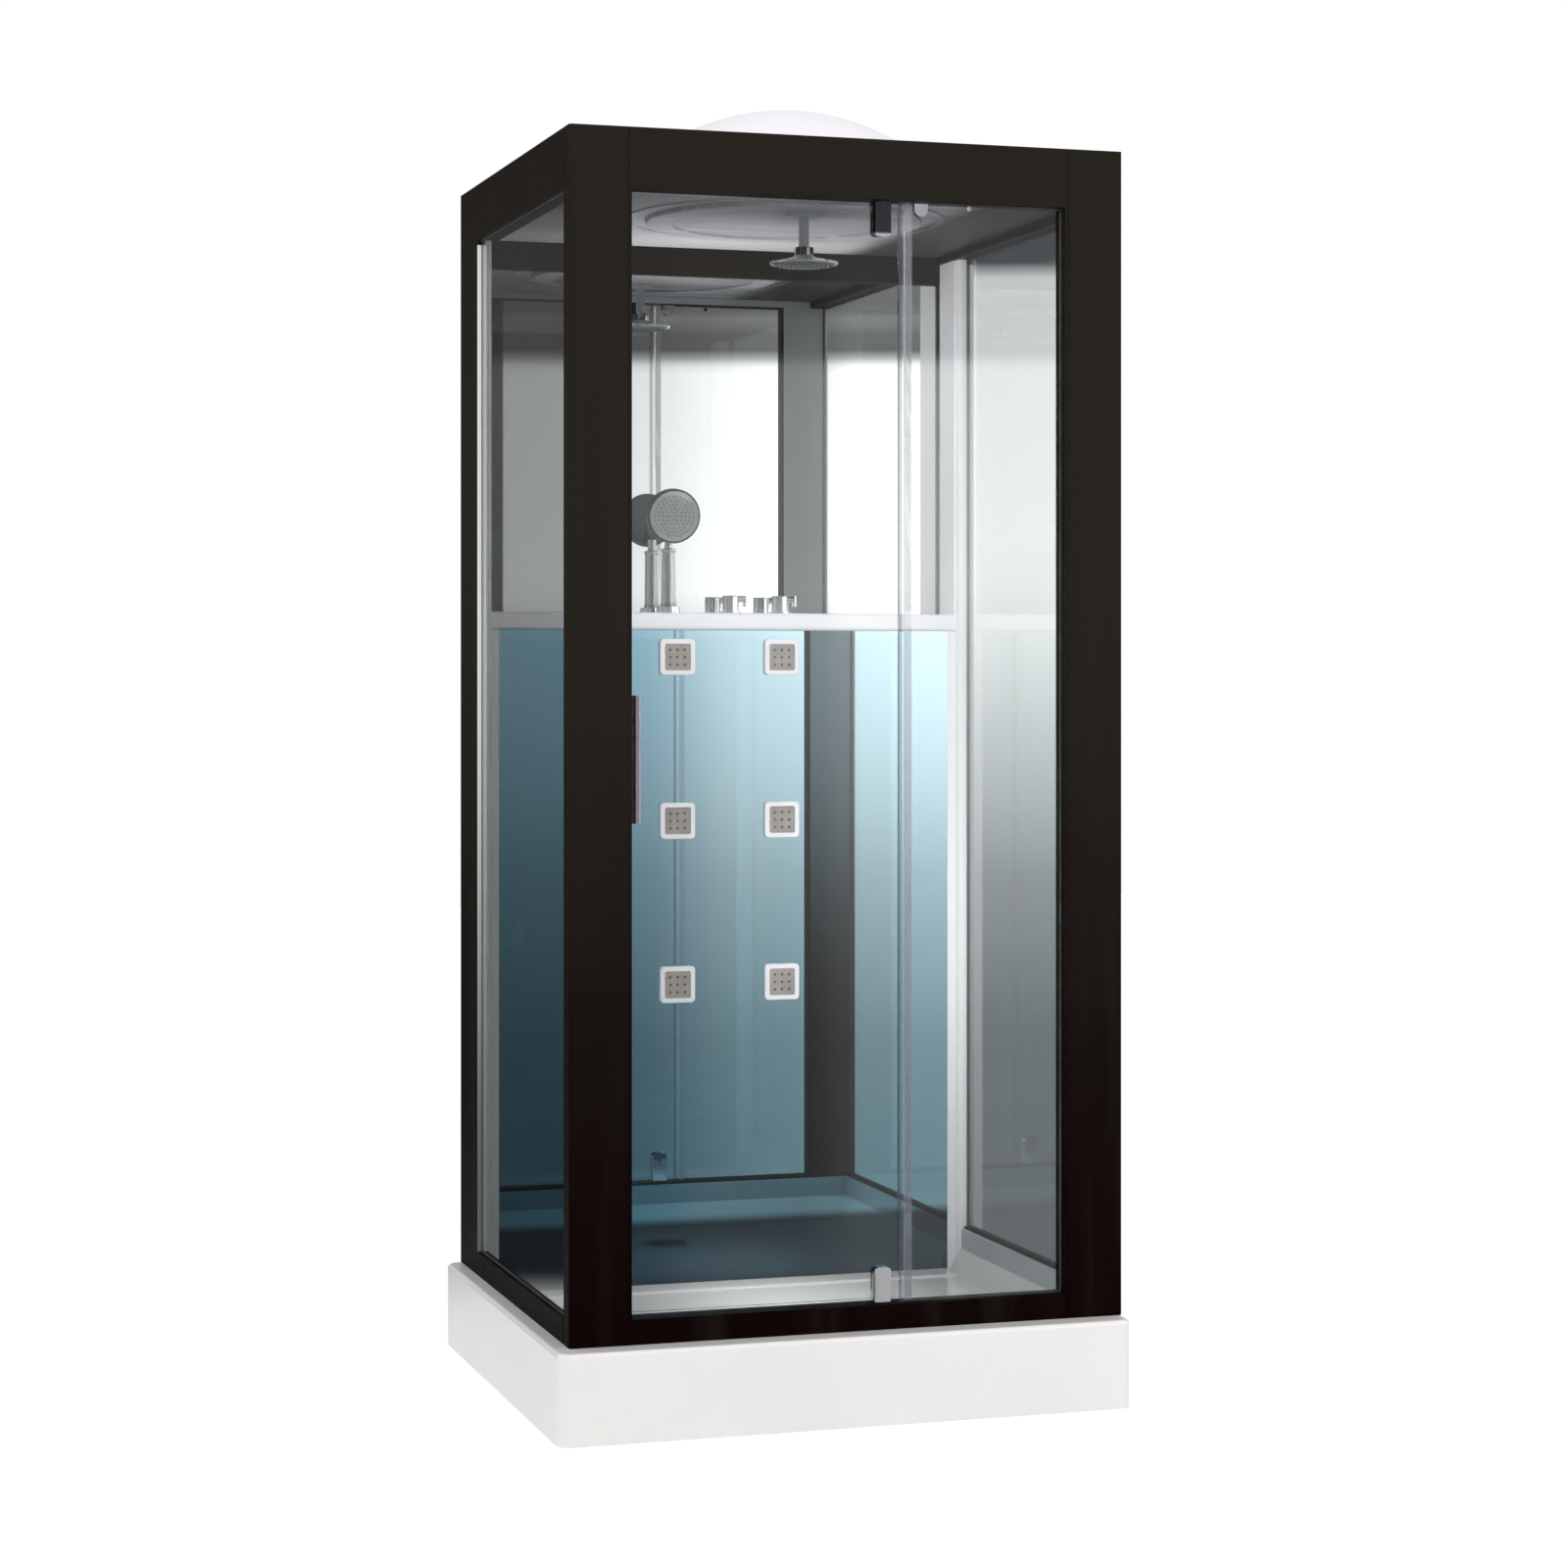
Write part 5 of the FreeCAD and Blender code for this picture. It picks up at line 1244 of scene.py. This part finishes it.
@dataclass
class Console(Assembly):
    """Rear unit: blue mirror panel, jets, shelf, niche, and the water pipes behind them.

    Args:
        thread: thread of the two inlets.
        screws: heads of the cladding's screws.
        screw_spacing: distance between those screws.
    """

    DRESS = {
        "white_trim": "console_trims overhead_feed niche_cheeks", "blue_mirror": "blue_panel",
        "white_plastic": "jet_bezels", "grey_rubber": "jet_faces", "grey_plastic": "jet_bodies manifold",
        "brass": "valve_block supply_pipes", "shelf_acrylic": "shelf", "mirror_glass": "niche_mirror",
        "grey_trim": "rear_cladding",
    }
    thread: Thread = Thread(radius=0.01015, pitch=0.00181, ridge=0.0006, length=0.0125)
    screws: Screws = Screws(radius=0.0045, height=0.0016)
    screw_spacing: float = 0.31

    def inlet_places(self) -> list[Point]:
        """Start of the thread at each water inlet."""
        inlets = [mount["pos_m"] for mount in self.frame["record"]["mounts"]
                  if mount["name"].endswith("_inlet")]
        return [(x, y - self.thread.length / 2, z) for x, y, z in inlets]

    def screw_places(self) -> list[Point]:
        """Screws down both sides of the rear cladding.

        Returns:
            Their places.
        """
        low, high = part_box("rear_cladding")
        count = int((high[2] - low[2]) / self.screw_spacing)
        margin = ((high[2] - low[2]) - count * self.screw_spacing) / 2
        inset = 3 * self.screws.radius
        return [(x, high[1], low[2] + margin + index * self.screw_spacing)
                for x in (low[0] + inset, high[0] - inset) for index in range(count + 1)]

    def build(self) -> None:
        """Thread the inlets and screw the cladding on."""
        rear = Facing.REAR.value
        self.add("inlet_threads", self.thread.recipe(rear, FinishBook.get("brass")), self.inlet_places(),
                 "cabin", "brass")
        self.add("cladding_screws", self.screws.recipe(rear, FinishBook.get("steel")), self.screw_places(),
                 "cabin", "steel")


@dataclass
class HandShower(Assembly):
    """Hand shower with its holder, and the two lever knobs beside it.

    Args:
        nubs: nubs on the face.
        tilt_deg: how far the face looks down.
    """

    DRESS = {
        "chrome": "escutcheons mixer_lever diverter_lever hand_shower_socket hand_shower_collar",
        "satin_chrome": "hand_shower_handle", "dark_chrome": "hand_shower_head",
        "spray_rubber": "hand_shower_spray",
    }
    nubs: Nubs = Nubs(count=91, pitch=0.0074, radius=0.0015, height=0.0014)
    tilt_deg: float = 8.0

    def build(self) -> None:
        """Set the nubs on the tilted spray face."""
        low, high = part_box("hand_shower_spray")
        lean = math.radians(self.tilt_deg)
        reach = (high[1] - low[1] - (high[0] - low[0]) * math.sin(lean)) / 2
        out = Vector((0.0, -math.cos(lean), -math.sin(lean)))
        spot = self.middle("hand_shower_spray") + out * (reach + self.nubs.height * self.nubs.stand)
        recipe = self.nubs.recipe((math.pi / 2 + lean, 0.0, 0.0), FinishBook.get("nozzle_rubber"))
        self.add("hand_shower_nozzles", recipe, [tuple(spot)], "hand_shower", "grey_rubber")


@dataclass
class Roof(Assembly):
    """Roof panel, dome, lamp diffuser and the overhead shower.

    Args:
        nubs: nubs under the overhead shower.
        screws: heads of the screws round the dome's flange.
        screw_count: number of those screws.
        flange_inset: screw circle's distance from the flange's edge.
        flange_thickness: thickness of the flange.
        screw_rise: share of a head's height by which its middle stands off the flange.
    """

    DRESS = {
        "ceiling_sheet": "roof_panel ceiling_ring", "dome_acrylic": "roof_dome", "opal": "light_diffuser",
        "grey_plastic": "overhead_stub", "chrome": "overhead_shower", "spray_rubber": "overhead_spray",
    }
    nubs: Nubs = Nubs(count=127, pitch=0.0078, radius=0.0016, height=0.0015)
    screws: Screws = Screws(radius=0.004, height=0.0022)
    screw_count: int = 12
    flange_inset: float = 0.009
    flange_thickness: float = 0.004
    screw_rise: float = 0.4

    def screw_places(self) -> list[Point]:
        """Screws round the dome's flange.

        Returns:
            Their places.
        """
        low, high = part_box("roof_dome")
        middle = self.middle("roof_dome")
        radius = (high[0] - low[0]) / 2 - self.flange_inset
        height = low[2] + self.flange_thickness + self.screws.height * self.screw_rise
        turns = [math.tau * (index + 0.5) / self.screw_count for index in range(self.screw_count)]
        return [(middle.x + radius * math.cos(turn), middle.y + radius * math.sin(turn), height)
                for turn in turns]

    def build(self) -> None:
        """Set the overhead nubs and the dome's screws."""
        spot = self.middle("overhead_spray")
        spot.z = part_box("overhead_spray")[0][2] - self.nubs.height * self.nubs.stand
        nubs = self.nubs.recipe(Facing.DOWN.value, FinishBook.get("nozzle_rubber"))
        self.add("overhead_nozzles", nubs, [tuple(spot)], "overhead_rose", "grey_rubber")
        heads = self.screws.recipe(Facing.UP.value, FinishBook.get("steel"))
        self.add("dome_screws", heads, self.screw_places(), "cabin", "steel")


@dataclass(frozen=True)
class Lamp:
    """Square soft lamp, hidden from mirrors and from what glass shows.

    Args:
        name: name of the lamp.
        place: where it hangs, in metres.
        aim: what it points at.
        size: side of the lamp.
        power: power in watts.
        spread_deg: angle of its light.
    """

    name: str
    place: Point
    aim: Point
    size: float
    power: float
    spread_deg: float = 180.0

    def hang(self) -> None:
        """Put the lamp into the scene."""
        data = bpy.data.lights.new(self.name, "AREA")
        data.shape = "SQUARE"
        data.size = self.size
        data.energy = self.power
        data.spread = math.radians(self.spread_deg)
        lamp = bpy.data.objects.new(self.name, data)
        bpy.context.collection.objects.link(lamp)
        lamp.location = self.place
        toward = Vector(self.aim) - Vector(self.place)
        lamp.rotation_euler = toward.to_track_quat("-Z", "Y").to_euler()
        lamp.visible_transmission = False
        lamp.visible_glossy = False


@dataclass
class Studio:
    """Plain pale floor, soft lamps, surroundings for glass and mirrors, and the camera.

    Args:
        plain: light of the surroundings on the object.
        left_dim: share of the front tones that mirrors show at the far left.
        right_lift: gain of the front tones that mirrors show through the right pane.
        left_rear: tone that the left pane mirrors at its flat angle, at the top.
        left_foot: the same at the foot.
        floor_size: side of the floor.
        floor_tone: colour of the floor.
        floor_roughness: its roughness.
        floor_glow: light that the floor adds for the camera alone.
        level_rise: rises of a direction at the two ends of the tones' ramps.
        front_back: Y of a direction between which the front tones turn into the rear ones.
        flag_slant: slants between which the dark flag at the left ends.
        flag_rise: rises between which its lower edge fades.
        flag_share: share of the tones that it leaves.
        left_slant: slants between which the dimming at the far left ends.
        right_slant: slants between which the gain at the right starts.
        shade_rise: rises between which the left pane's mirrored tone starts.
        shade_across: X of a direction between which it starts.
        shade_fade: rises between which it goes from foot to top.
        camera_place: camera's place in metres.
    """

    LAMPS: ClassVar[tuple[Lamp, ...]] = (
        Lamp("front_lamp", (-2.6, -4.2, 3.6), (0.0, 0.0, 1.0), 2.6, 55.0),
        Lamp("right_lamp", (3.4, -2.6, 3.0), (0.0, 0.0, 1.0), 2.2, 20.0),
        Lamp("console_lamp", (0.06, -0.30, 1.66), (0.06, 0.33, 1.36), 0.30, 2.6),
        Lamp("trim_lamp", (0.16, -0.28, 0.78), (0.36, 0.33, 0.78), 0.45, 0.8, 95.0),
        Lamp("floor_lamp", (0.04, 0.1, 0.85), (0.04, 0.12, 0.107), 0.2, 0.46, 50.0),
        Lamp("ceiling_lamp", (-0.05, 0.12, 1.66), (0.02, 0.36, 2.05), 0.30, 1.3, 150.0))
    BEHIND: ClassVar[tuple] = (
        (0.0, 0.78), (0.195, 0.78), (0.21, (0.21, 0.225, 0.235)), (0.33, (0.235, 0.25, 0.26)),
        (0.40, (0.42, 0.435, 0.44)), (0.47, (0.87, 0.9, 0.9)), (0.52, (1.28, 1.3, 1.28)), (0.57, 1.5),
        (0.62, 1.45), (0.667, 1.42), (0.7, (1.3, 1.33, 1.31)), (0.706, (0.1, 0.11, 0.12)),
        (1.0, (0.1, 0.11, 0.12)))
    FRONT: ClassVar[tuple] = (
        (0.0, (0.2, 0.2, 0.21)), (0.24, 0.27), (0.32, 0.33), (0.40, 0.57), (0.46, 0.9), (0.52, 1.18),
        (0.545, 1.6), (0.655, 1.45), (0.662, (0.16, 0.16, 0.165)), (0.675, (0.17, 0.17, 0.175)),
        (0.678, 0.36), (0.681, (0.17, 0.17, 0.175)), (0.75, (0.2, 0.2, 0.21)), (1.0, 0.5))
    NEAR_ZERO: ClassVar[float] = 0.01
    plain: float = 0.93
    left_dim: float = 0.62
    right_lift: float = 2.1
    left_rear: Colour = (0.075, 0.074, 0.07)
    left_foot: Colour = (0.014, 0.013, 0.012)
    floor_size: float = 24.0
    floor_tone: Colour = (0.9, 0.9, 0.9)
    floor_roughness: float = 0.9
    floor_glow: float = 0.34
    level_rise: Span = (-0.3, 0.3)
    front_back: Span = (-0.15, 0.15)
    flag_slant: Span = (0.2235, 0.2243)
    flag_rise: Span = (0.022, 0.016)
    flag_share: float = 0.16
    left_slant: Span = (0.262, 0.325)
    right_slant: Span = (0.318, 0.342)
    shade_rise: Span = (-0.184, -0.174)
    shade_across: Span = (-0.02, -0.12)
    shade_fade: Span = (-0.08, 0.12)
    camera_place: Point = (-1.7564, -5.650, 1.2381)

    def floor(self) -> None:
        """Pale floor that keeps the object's shadow, with a coat of light for the camera alone."""
        half = self.floor_size / 2
        mesh = bpy.data.meshes.new("studio_floor")
        mesh.from_pydata([(-half, -half, 0), (half, -half, 0), (half, half, 0), (-half, half, 0)], [],
                         [(0, 1, 2, 3)])
        piece = bpy.data.objects.new("studio_floor", mesh)
        bpy.context.collection.objects.link(piece)
        look = Look("studio_floor", self.floor_tone, self.floor_roughness)
        seen = look.node("ShaderNodeLightPath").outputs["Is Camera Ray"]
        look.set(Specular_IOR_Level=0.0, Emission_Color=opaque(WHITE),
                 Emission_Strength=look.times(seen, self.floor_glow))
        mesh.materials.append(look.material)
        piece.visible_transmission = False
        piece.visible_glossy = False

    def front_tones(self, graph: Graph, level: Socket, axes: Sequence[Socket]) -> Socket:
        """What mirrors show of the room in front, dimmer at the left and brighter at the right.

        Args:
            graph: the world's graph.
            level: height of the direction, 0 to 1.
            axes: its three axes.

        Returns:
            The colour socket.
        """
        across, ahead, rise = axes
        steep = graph.math("MAXIMUM", graph.math("ABSOLUTE", ahead), self.NEAR_ZERO)
        slant = graph.math("DIVIDE", across, steep)
        flag = graph.math("MAXIMUM", graph.span(slant, *self.flag_slant, first=self.flag_share),
                          graph.span(rise, *self.flag_rise))
        dim = graph.times(graph.span(slant, *self.left_slant, first=self.left_dim), flag)
        lift = graph.span(slant, *self.right_slant, first=1.0, last=self.right_lift)
        return graph.vector("SCALE", {0: graph.ramp(level, self.FRONT), 3: graph.times(dim, lift)})

    def rear_tones(self, graph: Graph, level: Socket, axes: Sequence[Socket]) -> Socket:
        """What glass and mirrors show of the room behind, dark where the left pane mirrors it.

        Args:
            graph: the world's graph.
            level: height of the direction, 0 to 1.
            axes: its three axes.

        Returns:
            The colour socket.
        """
        across, _, rise = axes
        shaded = graph.times(graph.span(rise, *self.shade_rise), graph.span(across, *self.shade_across))
        dark = graph.blend(graph.span(rise, *self.shade_fade), self.left_foot, self.left_rear)
        return graph.blend(shaded, graph.ramp(level, self.BEHIND), dark)

    def surroundings(self) -> None:
        """World: white for the camera, a plain light on the object, tones for mirrors and glass."""
        world = bpy.data.worlds.new("studio_world")
        bpy.context.scene.world = world
        world.use_nodes = True
        graph = Graph(world.node_tree)
        path = graph.node("ShaderNodeLightPath").outputs
        axes = graph.node("ShaderNodeSeparateXYZ", {0: graph.coordinate("Generated")}).outputs
        low, high = self.level_rise
        level = graph.node("ShaderNodeMapRange", {0: axes["Z"], 1: low, 2: high}).outputs[0]
        front, rear = (side(graph, level, tuple(axes)) for side in (self.front_tones, self.rear_tones))
        tones = graph.blend(graph.span(axes["Y"], *self.front_back), front, rear)
        direct = graph.less(1.0, graph.math("GREATER_THAN", path["Diffuse Depth"], 0.5))
        bent = graph.math("MAXIMUM", path["Is Glossy Ray"], path["Is Transmission Ray"])
        mirrored = graph.blend(graph.times(bent, direct), (self.plain, self.plain, self.plain), tones)
        shade = graph.find("BACKGROUND").inputs
        graph.plug(graph.blend(path["Is Camera Ray"], mirrored, WHITE), shade["Color"])
        graph.plug(1.0, shade["Strength"])

    def camera(self) -> None:
        """Camera at the photograph's place."""
        data = bpy.data.cameras.new("camera")
        data.sensor_fit = "HORIZONTAL"
        data.sensor_width = Lens.SENSOR_MM.value
        data.lens = Lens.LENGTH_MM.value
        data.shift_y = Lens.SHIFT_UP.value
        data.clip_end = Lens.REACH_M.value
        eye = bpy.data.objects.new("camera", data)
        bpy.context.collection.objects.link(eye)
        eye.location = self.camera_place
        eye.rotation_euler = (math.pi / 2, 0.0, math.radians(Lens.TURN_DEG.value))
        bpy.context.scene.camera = eye

    def build(self) -> None:
        """Set the whole studio."""
        self.camera()
        self.floor()
        self.surroundings()
        for lamp in self.LAMPS:
            lamp.hang()
        bpy.context.scene.view_settings.view_transform = "Standard"
        LOG.info("studio set")


def main() -> None:
    """Dress the cabin, add its fine pieces, and set the studio."""
    logging.basicConfig(level=logging.INFO, format="%(name)s: %(message)s")
    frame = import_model()
    Studio().build()
    for kind in (Enclosure, Door, Base, Console, HandShower, Roof):
        assembly = kind(frame)
        assembly.dress()
        assembly.build()
        LOG.info("%s done", kind.__name__)


if __name__ == "__main__":
    main()
